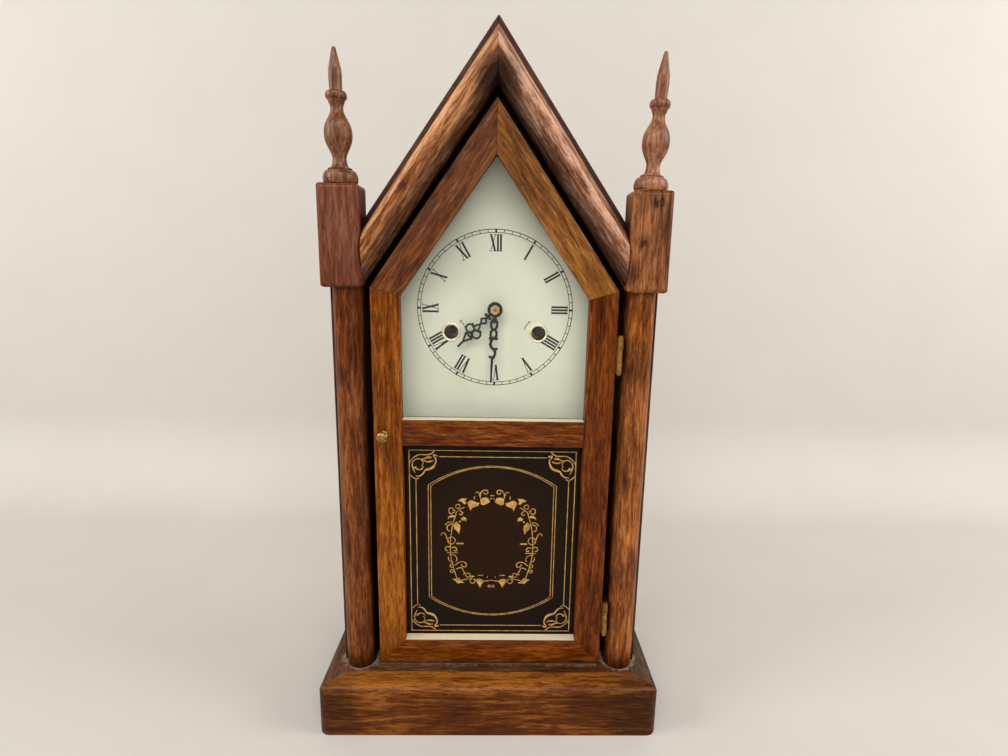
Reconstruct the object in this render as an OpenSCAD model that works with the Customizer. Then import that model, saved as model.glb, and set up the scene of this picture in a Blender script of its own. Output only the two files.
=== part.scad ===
// Steeple clock with an eight-day spring movement that goes and strikes.
// Millimetres. X runs to the right, Y to the back and Z up.
// The origin is the middle of the base's underside. The hands stand at half past seven.

/* [Base] */
// Width of the base
base_w = 256; // [246:1:270]
// Depth of the base
base_d = 127; // [125:1:150]
// Height of the base
base_h = 41; // [30:1:60]
// Thickness of the base rails
base_rail_t = 17.5; // [15:0.5:22]
// Thickness of the floor board
floor_t = 10; // [6:1:16]
// Radius of the base's top edge and front corners
base_round = 8; // [1:0.5:9]

/* [Case] */
// Width over the side boards
case_w = 229; // [225:1:237]
// Depth of the side and roof boards
case_d = 92; // [88:1:94]
// Distance from the base's front to the case's front edge
case_setback = 32; // [28:1:33]
// Thickness of the side boards
side_t = 12; // [11:0.5:14]
// Height of the eaves above the base's underside
eave_z = 343.8; // [335:1:355]
// Slope of the roof in degrees
roof_pitch = 55; // [52:1:57]
// Thickness of the back board
back_t = 5; // [4:0.5:7]
// Width of the side boards' rabbet for the back board
back_rabbet_w = 6; // [5:0.5:7]
// Distance of the back board's outer screws from its lower end and from the eaves
back_screw_in = 23; // [16:1:40]

/* [Posts, capitals and finials] */
// Radius of the half-round post
post_r = 11; // [10:0.5:13]
// Strip of the side board's edge left showing beside the post
post_strip = 2; // [0.5:0.5:3]
// Depth of the post's square part behind the case's front
post_back = 18; // [16:1:22]
// Height of the posts
post_h = 292.2; // [286:1:296]
// Width of a capital block
capital_w = 28; // [26:0.5:30]
// Depth of a capital block
capital_d = 24; // [23.5:0.5:28]
// Radius of a capital block's edges
capital_round = 3.5; // [0.5:0.5:4.5]
// Height of a capital block
capital_h = 67.3; // [60:1:75]
// How far a capital stands out past the side board
capital_side_out = 3; // [1:0.5:4]
// How far a capital stands out past the post's front
capital_front_out = 4; // [2:0.5:5]
// Diameter of a finial's foot
finial_foot_d = 23; // [20:0.1:24]
// Height of the foot
finial_foot_h = 8.6; // [7:0.2:11]
// Diameter of the fillet above the foot
finial_fillet_d = 15.8; // [13:0.1:16]
// Height from the foot to the lower neck
finial_flare_h = 7.6; // [5:0.2:9]
// Height from the lower neck to the vase's widest place
finial_vase_h = 14; // [12:0.1:18]
// Height from the vase's widest place to the upper neck
finial_shoulder_h = 16.3; // [12:0.1:20]
// Height of the cup from the upper neck to its rim
finial_cup_h = 5.6; // [5:0.1:10]
// Height of the cup's rounded rim
finial_rim_h = 4.9; // [3:0.1:6]
// Height of the left finial's spike
left_spike_h = 26.8; // [22:0.2:36]
// Height of the right finial's spike
right_spike_h = 29.8; // [22:0.2:36]
// Diameter of the lower neck
finial_low_neck_d = 9; // [7:0.1:11]
// Diameter of the vase
finial_vase_d = 18.2; // [14:0.1:20]
// Diameter of the upper neck
finial_high_neck_d = 8.2; // [6:0.1:9]
// Diameter of the cup's rim
finial_cup_d = 13.8; // [12:0.1:16]
// Diameter of the spike
finial_spike_d = 8.6; // [7:0.1:9.5]
// Diameter of the spike's tip
finial_tip_d = 2.8; // [1.6:0.1:4]
// Outward lean of the left finial in degrees
left_finial_lean = 1; // [0:0.5:3]
// Outward lean of the right finial in degrees
right_finial_lean = 3; // [0:0.5:3]
// Diameter of the dowel that holds a finial
dowel_d = 8; // [6:0.5:10]
// Length of the dowel
dowel_l = 15; // [10:1:20]

/* [Gable] */
// Distance from the roof's face to the moulding's outer edge
moulding_edge = 5; // [3:0.1:6]
// Width of the gable moulding
moulding_w = 19.7; // [18:0.1:22]
// Depth of the gable moulding
moulding_d = 15.5; // [12:0.5:18]
// Distance from the moulding's outer edge to its ridge
moulding_ridge = 5; // [4:0.5:8]
// How far the gable frame reaches behind the door
stop_overlap = 3.6; // [2:0.2:5]

/* [Door] */
// Gap between the door's edge and the post
door_gap = 4.5; // [4.1:0.1:4.9]
// Gap under the door
door_floor_gap = 1.6; // [1:0.2:3]
// Gap between the door's sloping edge and the moulding
door_gable_gap = 4.4; // [3.8:0.2:6]
// Thickness of the door
door_t = 16; // [14:0.5:18]
// How far the door stands in front of the case's front edge
door_proud = 6; // [5:0.5:7]
// Width of the door's members
member_w = 20; // [18:0.5:22]
// Height of the lower light
lower_light_h = 157.9; // [140:1:170]
// Height of the middle rail
middle_rail_h = 19.5; // [17:0.5:22]
// Width of the rabbet that takes the glass
rabbet_w = 6; // [4:0.5:7]
// Depth of the glass behind the door's front
glass_inset = 8; // [6:0.5:9]
// Thickness of the glass
glass_t = 2; // [1.5:0.1:3]
// Gap round the edge of the glass
glass_gap = 0.3; // [0.2:0.1:0.6]
// Thickness of the putty behind the glass
putty_t = 4; // [2:0.5:5]
// Height of a hinge
hinge_h = 26; // [24:1:36]
// Thickness of a hinge leaf
leaf_t = 0.8; // [0.6:0.1:1]
// Depth of a hinge leaf from the pin
leaf_l = 16; // [13:0.5:17]
// Radius of a hinge knuckle
knuckle_r = 2; // [1.9:0.05:2.2]
// Radius of a hinge pin
hinge_pin_r = 0.8; // [0.6:0.05:0.9]
// Height of the upper hinge's middle above the base's underside
upper_hinge_z = 289.4; // [270:1:305]
// Height of the lower hinge's middle above the base's underside
lower_hinge_z = 83.3; // [70:1:110]
// Diameter of the latch knob
knob_d = 8.5; // [7:0.5:10]
// How far the knob stands out from the door
knob_l = 9; // [8:0.5:11]
// Height of the knob above the base's underside
knob_z = 228.2; // [220:1:240]
// Distance from the door's left edge to the knob
knob_in = 7.2; // [6:0.2:9]
// Radius of the knob's shaft
knob_shaft_r = 1.5; // [1.2:0.1:2]
// Length of the latch tongue from the shaft
tongue_l = 16; // [14:0.5:17]
// Width of the latch tongue
tongue_w = 6; // [5:0.5:7]
// Thickness of the latch tongue
tongue_t = 1.2; // [1:0.1:1.5]

/* [Dial and hands] */
// Height of the dial's centre above the base's underside
dial_z = 318.3; // [316:0.1:322]
// Distance from the case's front edge to the dial's face
dial_setback = 20; // [19.5:0.5:21.5]
// Thickness of the dial plate
dial_t = 0.6; // [0.4:0.1:1]
// Width of the dial plate
dial_w = 168; // [160:1:170]
// How far the dial plate reaches below its centre
dial_below = 93; // [90:1:96]
// Distance from the roof's face to the dial plate's sloping edge
dial_gable_in = 36; // [34:0.5:38]
// Radius of the hole for the hour pipe
dial_centre_r = 5; // [4:0.5:6]
// Outer radius of a winding hole's grommet
grommet_r = 7.1; // [6.6:0.1:8]
// Radius of a winding hole
winding_hole_r = 5.3; // [4.5:0.1:5.6]
// Width of the battens behind the dial
batten_w = 33; // [30:0.5:34]
// Thickness of the battens
batten_t = 12; // [8:0.5:14]
// Length of the battens
batten_l = 88; // [70:1:90]
// Length of the hour hand
hour_hand_l = 38.6; // [36:0.2:40]
// Length of the minute hand
minute_hand_l = 53.9; // [50:0.2:56]
// Thickness of the hands
hand_t = 0.7; // [0.5:0.1:1]
// Radius of the hands' hubs
hand_hub_r = 5.5; // [4.5:0.1:5.8]
// Gap from the dial's face to the hour hand
hour_hand_gap = 4.8; // [4:0.2:5]
// Gap between the two hands
hand_gap = 2.3; // [1.8:0.1:2.8]
// Width of the hand nut across its flats
nut_w = 6.2; // [5.5:0.1:7]
// Thickness of the hand nut
nut_t = 2.2; // [1.6:0.1:2.6]

/* [Movement] */
// Width of the plates
plate_w = 120; // [118:1:126]
// How far the plates reach above the centre arbor
plate_top = 45; // [44:1:50]
// How far the plates reach below the centre arbor
plate_bottom = 63; // [62:1:68]
// Thickness of the plates
plate_t = 1.6; // [1.2:0.1:2]
// Space between the plates
plate_gap = 33.4; // [33:0.2:35]
// Space from the dial's back to the front plate
dial_works_gap = 18.4; // [18:0.2:19.5]
// Radius of the pillars
pillar_r = 3.2; // [2.8:0.1:3.6]
// Distance from the plates' edges to the pillars
pillar_in = 6; // [5:0.5:7]
// Radius of the train arbors
arbor_r = 1.2; // [1:0.05:1.3]
// Radius of the pivots
pivot_r = 0.7; // [0.5:0.05:0.8]
// Radius of the centre arbor
centre_r = 1.5; // [1.3:0.05:1.6]
// Sideways distance of the winding arbors from the centre
winding_x = 32.4; // [32.4:0.1:33]
// Drop of the winding arbors below the centre
winding_drop = 17.4; // [17:0.1:18.5]
// Size of the winding arbors' squares
winding_square = 4.4; // [3.6:0.1:5]
// Radius of the winding arbors' spring barrels
spring_core_r = 6.4; // [6:0.1:6.8]
// Width of the mainsprings
spring_w = 18; // [15:0.5:18.5]
// Thickness of a mainspring's strip
spring_t = 0.5; // [0.4:0.05:0.6]
// Turns of a mainspring
spring_turns = 9; // [7:1:10]
// Outer radius of a mainspring
spring_r = 21.5; // [19:0.5:22]
// Drop of the verge pin below the centre
verge_drop = 26; // [25:0.5:27]
// Drop of the escape wheel below the centre
escape_drop = 46; // [45:0.5:46.5]
// Radius of the escape wheel
escape_r = 14; // [13.9:0.1:14.1]
// Length of the pendulum from the verge pin to the bob's middle
pendulum_l = 140; // [130:1:146]
// Radius of the pendulum bob
bob_r = 22; // [18:0.5:24]
// Thickness of the pendulum bob
bob_t = 9; // [7:0.5:10]
// Radius of the pendulum rod
rod_r = 0.8; // [0.6:0.05:0.9]
// Outer radius of the gong coil
gong_r = 35; // [30:0.5:36]
// Turns of the gong coil
gong_turns = 5; // [4:1:6]
// Thickness of the gong's strip
gong_t = 1.3; // [1:0.1:1.6]
// Width of the gong's strip
gong_w = 3; // [2.5:0.1:3.5]
// Radius of the hammer head
hammer_r = 5; // [4:0.5:5]
// Running clearance of shafts in their holes
fit = 0.05; // [0.03:0.01:0.08]

/* [Hidden] */
$fn = 48;

// Colours
wood_red = [0.36, 0.15, 0.08];
wood_orange = [0.48, 0.22, 0.10];
wood_dark = [0.22, 0.10, 0.07];
wood_plain = [0.45, 0.30, 0.18];
brass = [0.72, 0.58, 0.30];
steel = [0.55, 0.56, 0.58];
black_steel = [0.04, 0.04, 0.04];
dial_cream = [0.86, 0.88, 0.80];
glass_clear = [0.80, 0.90, 0.90, 0.3];
glass_dark = [0.10, 0.06, 0.04];
putty_grey = [0.50, 0.47, 0.42];

// Case planes
slope = tan(roof_pitch);
apex_z = eave_z + case_w / 2 * slope;
front_y = -base_d / 2 + case_setback;
back_y = front_y + case_d;
side_in = case_w / 2 - side_t;
roof_t = side_t * sin(roof_pitch);
post_x = case_w / 2 - post_strip - post_r;
post_in = post_x - post_r;
capital_z = base_h + post_h;
capital_x = case_w / 2 + capital_side_out - capital_w / 2;
capital_y = front_y - post_r - capital_front_out + capital_d / 2;
capital_in = capital_x - capital_w / 2;
frame_out = min(post_in, capital_in);
moulding_in = moulding_edge + moulding_w;

// Door planes
door_half = post_in - door_gap;
door_z = base_h + door_floor_gap;
door_y = front_y - door_proud;
door_back = door_y + door_t;
door_gable = moulding_in + door_gable_gap;
light_half = door_half - member_w;
light_gable = door_gable + member_w;
lower_light_z = door_z + member_w;
middle_rail_z = lower_light_z + lower_light_h;
upper_light_z = middle_rail_z + middle_rail_h;
glass_y = door_y + glass_inset;
glass_lap = rabbet_w - glass_gap;
hinge_x = post_in - door_gap / 2;
knuckle_gap = 0.15;
hinge_y = door_y - knuckle_r - knuckle_gap;
hinge_heights = [lower_hinge_z, upper_hinge_z];
knuckle_h = hinge_h / 3;
knob_x = -door_half + knob_in;
stop_gap = 0.3;

// Dial planes
dial_y = front_y + dial_setback;
dial_back = dial_y + dial_t;
hour_hand_y = dial_y - hour_hand_gap - hand_t;
minute_hand_y = hour_hand_y - hand_gap - hand_t;
batten_z = dial_z - dial_below + 6;
hour_angle = 224.5;
minute_angle = 182.7;

// Movement planes
front_plate_y = dial_back + dial_works_gap;
works_y = front_plate_y + plate_t;
back_plate_y = works_y + plate_gap;
works_back = back_plate_y + plate_t;
end_shake = 0.2;
pillar_x = plate_w / 2 - pillar_in;
pillar_zs = [dial_z + plate_top - pillar_in, dial_z - plate_bottom + pillar_in];
great_y = works_y + 1.5;
great_t = 2;
ratchet_y = great_y + great_t + 0.5;
ratchet_t = 1.6;
ratchet_r = 9;
winding_arbor_r = 3;
winding_pivot_r = pivot_r + 0.8;
minute_stud_r = 1.2;
spring_y = ratchet_y + ratchet_t + 1;
centre_wheel_y = back_plate_y - 7.3;
third_wheel_y = back_plate_y - 4.4;
wheel_t = 1.2;
pinion_side = 0.4;
cap_t = 0.8;
verge_z = dial_z - verge_drop;
escape_z = dial_z - escape_drop;
escape_y = front_plate_y - 4.5;
pendulum_y = front_plate_y - 9.5;
swing = 3;

// Tooth counts
great_teeth = 96;
centre_teeth = 96;
third_teeth = 80;
escape_teeth = 40;
strike_teeth = 64;
pin_wheel_teeth = 60;
leaves = 8;
cannon_teeth = 12;
minute_teeth = 36;
minute_leaves = 10;
hour_teeth = 40;

// Train geometry, in X and Z from the centre arbor
train_module = 0.5;
strike_module = 0.7;
winding_reach = sqrt(pow(winding_x, 2) + pow(winding_drop, 2));
great_module = 2 * winding_reach / (great_teeth + leaves);
third_reach = (centre_teeth + leaves) * train_module / 2;
escape_reach = (third_teeth + leaves) * train_module / 2;
third_down = (pow(third_reach, 2) - pow(escape_reach, 2) + pow(escape_drop, 2)) / (2 * escape_drop);
third_side = sqrt(pow(third_reach, 2) - pow(third_down, 2));
time_at = [winding_x, -winding_drop];
strike_at = [-winding_x, -winding_drop];
centre_at = [0, 0];
third_at = [-third_side, -third_down];
escape_at = [0, -escape_drop];
pin_wheel_angle = 75;
pin_wheel_reach = (strike_teeth + leaves) * strike_module / 2;
pin_wheel_at = strike_at + pin_wheel_reach * [cos(pin_wheel_angle), sin(pin_wheel_angle)];
fly_angle = 70;
fly_reach = (pin_wheel_teeth + leaves) * train_module / 2;
fly_at = pin_wheel_at + fly_reach * [cos(fly_angle), sin(fly_angle)];
hammer_at = [-44, 10];
motion_module = 0.6;
motion_reach = (cannon_teeth + minute_teeth) * motion_module / 2;
hour_module = 2 * motion_reach / (minute_leaves + hour_teeth);
minute_arbor_angle = 60;
minute_at = motion_reach * [cos(minute_arbor_angle), sin(minute_arbor_angle)];
gong_at = [0, -154];
gong_foot_l = 10;
gong_y = back_y - back_t - gong_foot_l;
gong_core_r = 6;

// Height of the gable line at x, a distance s square in from the roof's face
function gable_z(s, x) = apex_z - s / cos(roof_pitch) - abs(x) * slope;

// Outline with a flat foot and a gable, half_w wide to each side
function house(half_w, foot_z, s) = [
    [-half_w, foot_z], [half_w, foot_z], [half_w, gable_z(s, half_w)],
    [0, gable_z(s, 0)], [-half_w, gable_z(s, half_w)],
];

// Sloping strip on the right side, between two distances from the roof's face
function gable_strip(s_out, s_in, x_out) = [
    [0, gable_z(s_in, 0)], [x_out, gable_z(s_in, x_out)],
    [x_out, gable_z(s_out, x_out)], [0, gable_z(s_out, 0)],
];

function arc(x, y, r, from, to, n) =
    [for (i = [0:n]) let (a = from + (to - from) * i / n) [x + r * cos(a), y + r * sin(a)]];

// Smooth run of a turned profile between two radii and heights; a power under 1 makes it fuller
function turned(r0, h0, r1, h1, n, power) =
    [for (i = [1:n]) [r0 + (r1 - r0) * (1 - cos(180 * pow(i / n, power))) / 2, h0 + (h1 - h0) * i / n]];

// Quarter of an ellipse from the radius r0 at h0 to the radius r1 at h1, upright at h0
function shoulder(r0, h0, r1, h1, n) =
    [for (i = [0:n]) [r1 + (r0 - r1) * cos(90 * i / n), h0 + (h1 - h0) * sin(90 * i / n)]];

function direction(from, to) = atan2(to[1] - from[1], to[0] - from[0]);

module on_side(side) {
    if (side < 0) mirror([1, 0, 0]) children();
    else children();
}

// Stands a flat outline up, with its X and Y along X and Z, from y backwards for t
module upright(y, t) translate([0, y + t, 0]) rotate([90, 0, 0]) linear_extrude(t) children();

// Shaft along Y at a place in X and Z
module shaft(at, y0, y1, r) translate([at[0], y0, dial_z + at[1]]) rotate([-90, 0, 0]) cylinder(h = y1 - y0, r = r);

// Moves a flat outline to a place measured from the centre arbor
module from_centre(at) translate([at[0], dial_z + at[1]]) children();

// Line of even width through points, with round joints a little wider than the line
module stroke(points, w) {
    for (i = [0:len(points) - 2]) {
        run = points[i + 1] - points[i];
        translate(points[i]) rotate(atan2(run[1], run[0])) translate([0, -w / 2]) square([norm(run), w]);
    }
    for (p = points) translate(p) circle(d = w * 1.12, $fn = 24);
}

// Countersunk screw: its flat face at the origin, its shank along +Z
module screw(head_r, shank_r, l, slack = 0) {
    cylinder(h = head_r, r1 = head_r + slack, r2 = shank_r + slack);
    cylinder(h = l + slack * 10, r = shank_r + slack);
}

// Places of the screws and pins

module at_back_screws()
    for (side = [-1, 1], z = [base_h + back_screw_in, (base_h + eave_z) / 2, eave_z - back_screw_in])
        translate([side * (side_in + back_rabbet_w / 2), back_y, z]) rotate([90, 0, 0]) children();

module at_pillars()
    for (side = [-1, 1], z = pillar_zs) translate([side * pillar_x, back_y, z]) rotate([90, 0, 0]) children();

module at_gong_screw() translate([gong_at[0], back_y, dial_z + gong_at[1]]) rotate([90, 0, 0]) children();

module at_dial_screws()
    for (side = [-1, 1], z = [batten_z + 12, batten_z + batten_l - 12])
        translate([side * (dial_w / 2 - 6), dial_y, z]) rotate([-90, 0, 0]) children();

module at_hinges() for (z = hinge_heights) translate([hinge_x, hinge_y, z]) children();

module at_hinge_screws()
    at_hinges() for (z = [-1, 1]) translate([0, leaf_l - 5, z * knuckle_h]) children();

screw_head_r = 3;
back_screw_l = 15;
back_screw_r = 1.2;
mount_screw_l = 13;
mount_screw_r = 1.5;
dial_screw_l = 8;
dial_screw_r = 0.8;
hinge_screw_l = 8;
hinge_screw_r = 0.75;
hinge_head_r = 1.5;

module base_plan() {
    translate([-base_w / 2, -base_d / 2 + base_round]) square([base_w, base_d - base_round]);
    translate([-base_w / 2 + base_round, -base_d / 2]) square([base_w - 2 * base_round, base_round]);
    for (side = [-1, 1])
        translate([side * (base_w / 2 - base_round), -base_d / 2 + base_round]) circle(base_round);
}

// Section of a base rail: outer face at zero, rounded along the top
module base_rail_section() {
    square([base_rail_t, base_h - base_round]);
    translate([base_round, 0]) square([base_rail_t - base_round, base_h]);
    translate([base_round, base_h - base_round]) circle(base_round);
}

module base_front_rail() color(wood_orange) intersection() {
    translate([-base_w / 2, -base_d / 2, 0]) rotate([90, 0, 90]) linear_extrude(base_w) base_rail_section();
    linear_extrude(base_h + 1) intersection() {
        base_plan();
        polygon([
            [-base_w / 2, -base_d / 2], [base_w / 2, -base_d / 2],
            [base_w / 2 - base_rail_t, -base_d / 2 + base_rail_t],
            [-base_w / 2 + base_rail_t, -base_d / 2 + base_rail_t],
        ]);
    }
}

module base_side_rail() intersection() {
    translate([-base_w / 2, base_d / 2, 0]) rotate([90, 0, 0]) linear_extrude(base_d) base_rail_section();
    linear_extrude(base_h + 1) intersection() {
        base_plan();
        polygon([
            [-base_w / 2, -base_d / 2], [-base_w / 2 + base_rail_t, -base_d / 2 + base_rail_t],
            [-base_w / 2 + base_rail_t, base_d / 2], [-base_w / 2, base_d / 2],
        ]);
    }
}

module base_left_rail() color(wood_orange) base_side_rail();

module base_right_rail() color(wood_orange) on_side(-1) base_side_rail();

module base_floor_board() color(wood_dark)
    translate([-base_w / 2 + base_rail_t, -base_d / 2 + base_rail_t, base_h - floor_t])
        cube([base_w - 2 * base_rail_t, base_d - base_rail_t, floor_t]);

module side_board() difference() {
    translate([side_in, front_y, base_h]) cube([side_t, case_d, eave_z - base_h]);
    translate([side_in - 1, back_y - back_t, base_h - 1]) cube([back_rabbet_w + 1, back_t + 1, eave_z]);
    at_back_screws() screw(screw_head_r, back_screw_r, back_screw_l, fit);
}

module left_side_board() color(wood_dark) on_side(-1) side_board();

module right_side_board() color(wood_dark) on_side(1) side_board();

function roof_outline() = [
    [0, gable_z(roof_t, 0)], [side_in, eave_z], [case_w / 2, eave_z], [0, apex_z],
];

module left_roof_board() color(wood_red) on_side(-1) upright(front_y, case_d) polygon(roof_outline());

module right_roof_board() color(wood_red) upright(front_y, case_d) polygon(roof_outline());

module back_board() color(wood_plain) difference() {
    back_half = side_in + back_rabbet_w;
    upright(back_y - back_t, back_t) polygon([
        [-back_half, base_h], [back_half, base_h], [back_half, eave_z], [side_in, eave_z],
        [0, gable_z(roof_t, 0)], [-side_in, eave_z], [-back_half, eave_z],
    ]);
    at_back_screws() screw(screw_head_r, back_screw_r, back_screw_l, fit);
    at_pillars() screw(screw_head_r, mount_screw_r, mount_screw_l, fit);
    at_gong_screw() screw(screw_head_r, mount_screw_r, mount_screw_l, fit);
}

// Square post with a half-round front
module post() translate([0, 0, base_h]) linear_extrude(post_h) {
    intersection() {
        translate([post_x, front_y]) circle(post_r);
        translate([post_in, front_y - post_r]) square([2 * post_r, post_r]);
    }
    translate([post_in, front_y]) square([side_in - post_in, post_back]);
}

mortise_slack = 0.8;

// Slot in the left post that the latch tongue turns into
module latch_mortise() translate([
    -post_in - tongue_l + knob_in + door_gap - 1.5,
    door_back + stop_gap - mortise_slack,
    knob_z - tongue_l + 1,
]) cube([tongue_l - knob_in - door_gap + 2.5, tongue_t + 2 * mortise_slack, tongue_l - 1 + tongue_w / 2 + 1]);

module left_post() color(wood_dark) difference() {
    on_side(-1) post();
    latch_mortise();
}

module right_post() color(wood_dark) difference() {
    post();
    at_hinge_screws() translate([door_gap / 2 - leaf_t, 0, 0]) rotate([0, 90, 0])
        screw(hinge_head_r, hinge_screw_r, hinge_screw_l, fit);
}

// Rectangle round its middle, with rounded corners
module rounded_rect(w, h, r) {
    square([w - 2 * r, h], center = true);
    square([w, h - 2 * r], center = true);
    for (x = [-1, 1], y = [-1, 1]) translate([x * (w / 2 - r), y * (h / 2 - r)]) circle(r);
}

// Block round its middle, with rounded edges
module rounded_block(w, d, h, r) intersection() {
    translate([0, 0, -h / 2]) linear_extrude(h) rounded_rect(w, d, r);
    translate([0, d / 2, 0]) rotate([90, 0, 0]) linear_extrude(d) rounded_rect(w, h, r);
    translate([-w / 2, 0, 0]) rotate([90, 0, 90]) linear_extrude(w) rounded_rect(d, h, r);
}

// Capital block, notched over the roof board and the side board
module capital_block() difference() {
    translate([capital_x, capital_y, capital_z + capital_h / 2])
        rounded_block(capital_w, capital_d, capital_h, capital_round);
    upright(front_y, capital_d) polygon([
        [0, gable_z(roof_t, 0)], [side_in, eave_z], [side_in, base_h],
        [case_w / 2, base_h], [case_w / 2, eave_z], [0, apex_z],
    ]);
    translate([capital_x, capital_y, capital_z + capital_h - dowel_l - 0.5])
        cylinder(h = dowel_l + 1.5, r = dowel_d / 2 + fit);
}

module left_capital_block() color(wood_red) on_side(-1) capital_block();

module right_capital_block() color(wood_orange) capital_block();

// The profile starts below the foot, where finial() cuts it level
function finial_profile(spike_l) = let (
    foot_r = finial_foot_d / 2,
    fillet_r = finial_fillet_d / 2,
    fillet_h = 0.9,
    groove = 0.5,
    foot_belly_h = 3,
    rim_lip = 1.4,
    hollow_r = fillet_r - 0.6,
    low_neck_r = finial_low_neck_d / 2,
    vase_r = finial_vase_d / 2,
    high_neck_r = finial_high_neck_d / 2,
    cup_r = finial_cup_d / 2,
    tip_r = finial_tip_d / 2,
    spike_r = finial_spike_d / 2,
    h_fillet = finial_foot_h + groove,
    h_hollow = h_fillet + fillet_h,
    h_low = finial_foot_h + finial_flare_h,
    h_vase = h_low + finial_vase_h,
    h_high = h_vase + finial_shoulder_h,
    h_cup = h_high + finial_cup_h,
    h_spike = h_cup + finial_rim_h,
    h_tip = h_spike + spike_l - tip_r
) concat(
    [[0, -1], [foot_r - 0.9, -1], [foot_r - 0.9, 0], [foot_r - 0.25, foot_belly_h * 0.4]],
    shoulder(foot_r, foot_belly_h, fillet_r + 0.4, finial_foot_h, 9),
    [[fillet_r - groove, finial_foot_h + 0.1], [fillet_r - groove, h_fillet - 0.1],
        [fillet_r, h_fillet], [fillet_r, h_hollow - 0.2]],
    [for (i = [0:7]) let (a = 90 * i / 7)
        [hollow_r - (hollow_r - low_neck_r) * sin(a), h_low - (h_low - h_hollow) * cos(a)]],
    turned(low_neck_r, h_low, vase_r, h_vase, 10, 0.85),
    turned(vase_r, h_vase, high_neck_r, h_high, 12, 1.4),
    turned(high_neck_r, h_high, cup_r - rim_lip, h_cup, 8, 1.3),
    [for (i = [1:11]) let (a = -90 + 15 * i)
        [cup_r - rim_lip + rim_lip * cos(a), h_cup + finial_rim_h * (1 + sin(a)) / 2]],
    [[cup_r - rim_lip, h_spike], [spike_r - 0.3, h_spike],
        [spike_r, h_spike + spike_l * 0.35], [spike_r - 0.2, h_spike + spike_l * 0.5]],
    arc(0, h_tip, tip_r, 10, 90, 4)
);

// Finial whose foot is cut level, so that it leans
module finial(lean, spike_l) translate([capital_x, capital_y, capital_z + capital_h]) {
    intersection() {
        rotate([0, lean, 0]) rotate_extrude($fn = 48) polygon(finial_profile(spike_l));
        translate([-finial_foot_d, -finial_foot_d, 0]) cube([2 * finial_foot_d, 2 * finial_foot_d, 2 * capital_h]);
    }
    translate([0, 0, -dowel_l]) cylinder(h = dowel_l + 1, r = dowel_d / 2);
}

module left_finial() color(wood_dark) on_side(-1) finial(left_finial_lean, left_spike_h);

module right_finial() color(wood_dark) finial(right_finial_lean, right_spike_h);

// Section of the gable moulding: distance from the roof's face, and depth forwards
module moulding_section() polygon(concat(
    [[moulding_edge, 0], [moulding_edge, moulding_d * 0.5], [moulding_edge + 0.6, moulding_d * 0.62],
        [moulding_edge + 1.8, moulding_d * 0.76]],
    [for (i = [0:12])
        let (a = 90 - 90 * i / 12, run = moulding_w - moulding_ridge)
            [moulding_edge + moulding_ridge + run * cos(a), moulding_d * (0.25 + 0.75 * sin(a))]],
    [[moulding_in, 0]]
));

module gable_moulding() {
    run = apex_z / sin(roof_pitch);
    intersection() {
        translate([0, front_y, apex_z]) rotate([180, 90 + roof_pitch, 0]) translate([0, 0, -run])
            linear_extrude(run + 2 * moulding_in) moulding_section();
        translate([0, front_y - moulding_d - 1, 0]) cube([capital_in, moulding_d + 1, 2 * apex_z]);
    }
}

module left_gable_moulding() color(wood_red) on_side(-1) gable_moulding();

module right_gable_moulding() color(wood_orange) gable_moulding();

// Rails behind the gable mouldings, whose inner edges stop the door
module gable_frame_rails() color(wood_dark) for (side = [-1, 1]) on_side(side) {
    stop_y = door_back + stop_gap;
    upright(front_y, stop_y - front_y) polygon(gable_strip(roof_t, moulding_in, frame_out));
    upright(stop_y, front_y + post_back - stop_y)
        polygon(gable_strip(roof_t, door_gable + stop_overlap, frame_out));
}

module dial_battens() color(wood_plain) difference() {
    for (side = [-1, 1]) on_side(side)
        translate([side_in - batten_w, dial_back, batten_z]) cube([batten_w, batten_t, batten_l]);
    at_dial_screws() cylinder(h = dial_screw_l + 1, r = dial_screw_r + fit);
}

module round_head_screw() {
    translate([0, 0, -1]) cylinder(h = 1, r = 2);
    cylinder(h = dial_screw_l, r = dial_screw_r);
}

tenon_r = 1.5;
tenon_l = 3;
taper_pin_r = 0.5;

module screws_and_pins() color(steel) {
    at_back_screws() screw(screw_head_r, back_screw_r, back_screw_l);
    at_pillars() screw(screw_head_r, mount_screw_r, mount_screw_l);
    at_gong_screw() screw(screw_head_r, mount_screw_r, mount_screw_l);
    at_dial_screws() round_head_screw();
    at_hinge_screws() translate([door_gap / 2 - leaf_t, 0, 0]) rotate([0, 90, 0])
        screw(hinge_head_r, hinge_screw_r, hinge_screw_l);
    for (side = [-1, 1], z = pillar_zs)
        translate([side * pillar_x, front_plate_y - taper_pin_r - 0.1, z - 4]) cylinder(h = 8, r = taper_pin_r);
}

// Door members: full width in front of the glass and rabbeted behind it

module rabbet() {
    lap = rabbet_w;
    upright(glass_y, door_t) {
        polygon(house(light_half + lap, upper_light_z - lap, light_gable - lap));
        translate([-light_half - lap, lower_light_z - lap])
            square([2 * (light_half + lap), lower_light_h + 2 * lap]);
    }
}

module stile() difference() {
    upright(door_y, door_t) polygon([
        [light_half, lower_light_z], [door_half, door_z], [door_half, gable_z(door_gable, door_half)],
        [light_half, gable_z(light_gable, light_half)],
    ]);
    rabbet();
}

module door_left_stile() color(wood_orange) difference() {
    on_side(-1) stile();
    translate([knob_x, door_y - 1, knob_z]) rotate([-90, 0, 0]) cylinder(h = door_t + 2, r = knob_shaft_r + fit);
}

module door_right_stile() color(wood_red) difference() {
    stile();
    at_hinge_screws() translate([-door_gap / 2 + leaf_t, 0, 0]) rotate([0, -90, 0])
        screw(hinge_head_r, hinge_screw_r, hinge_screw_l, fit);
}

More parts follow.
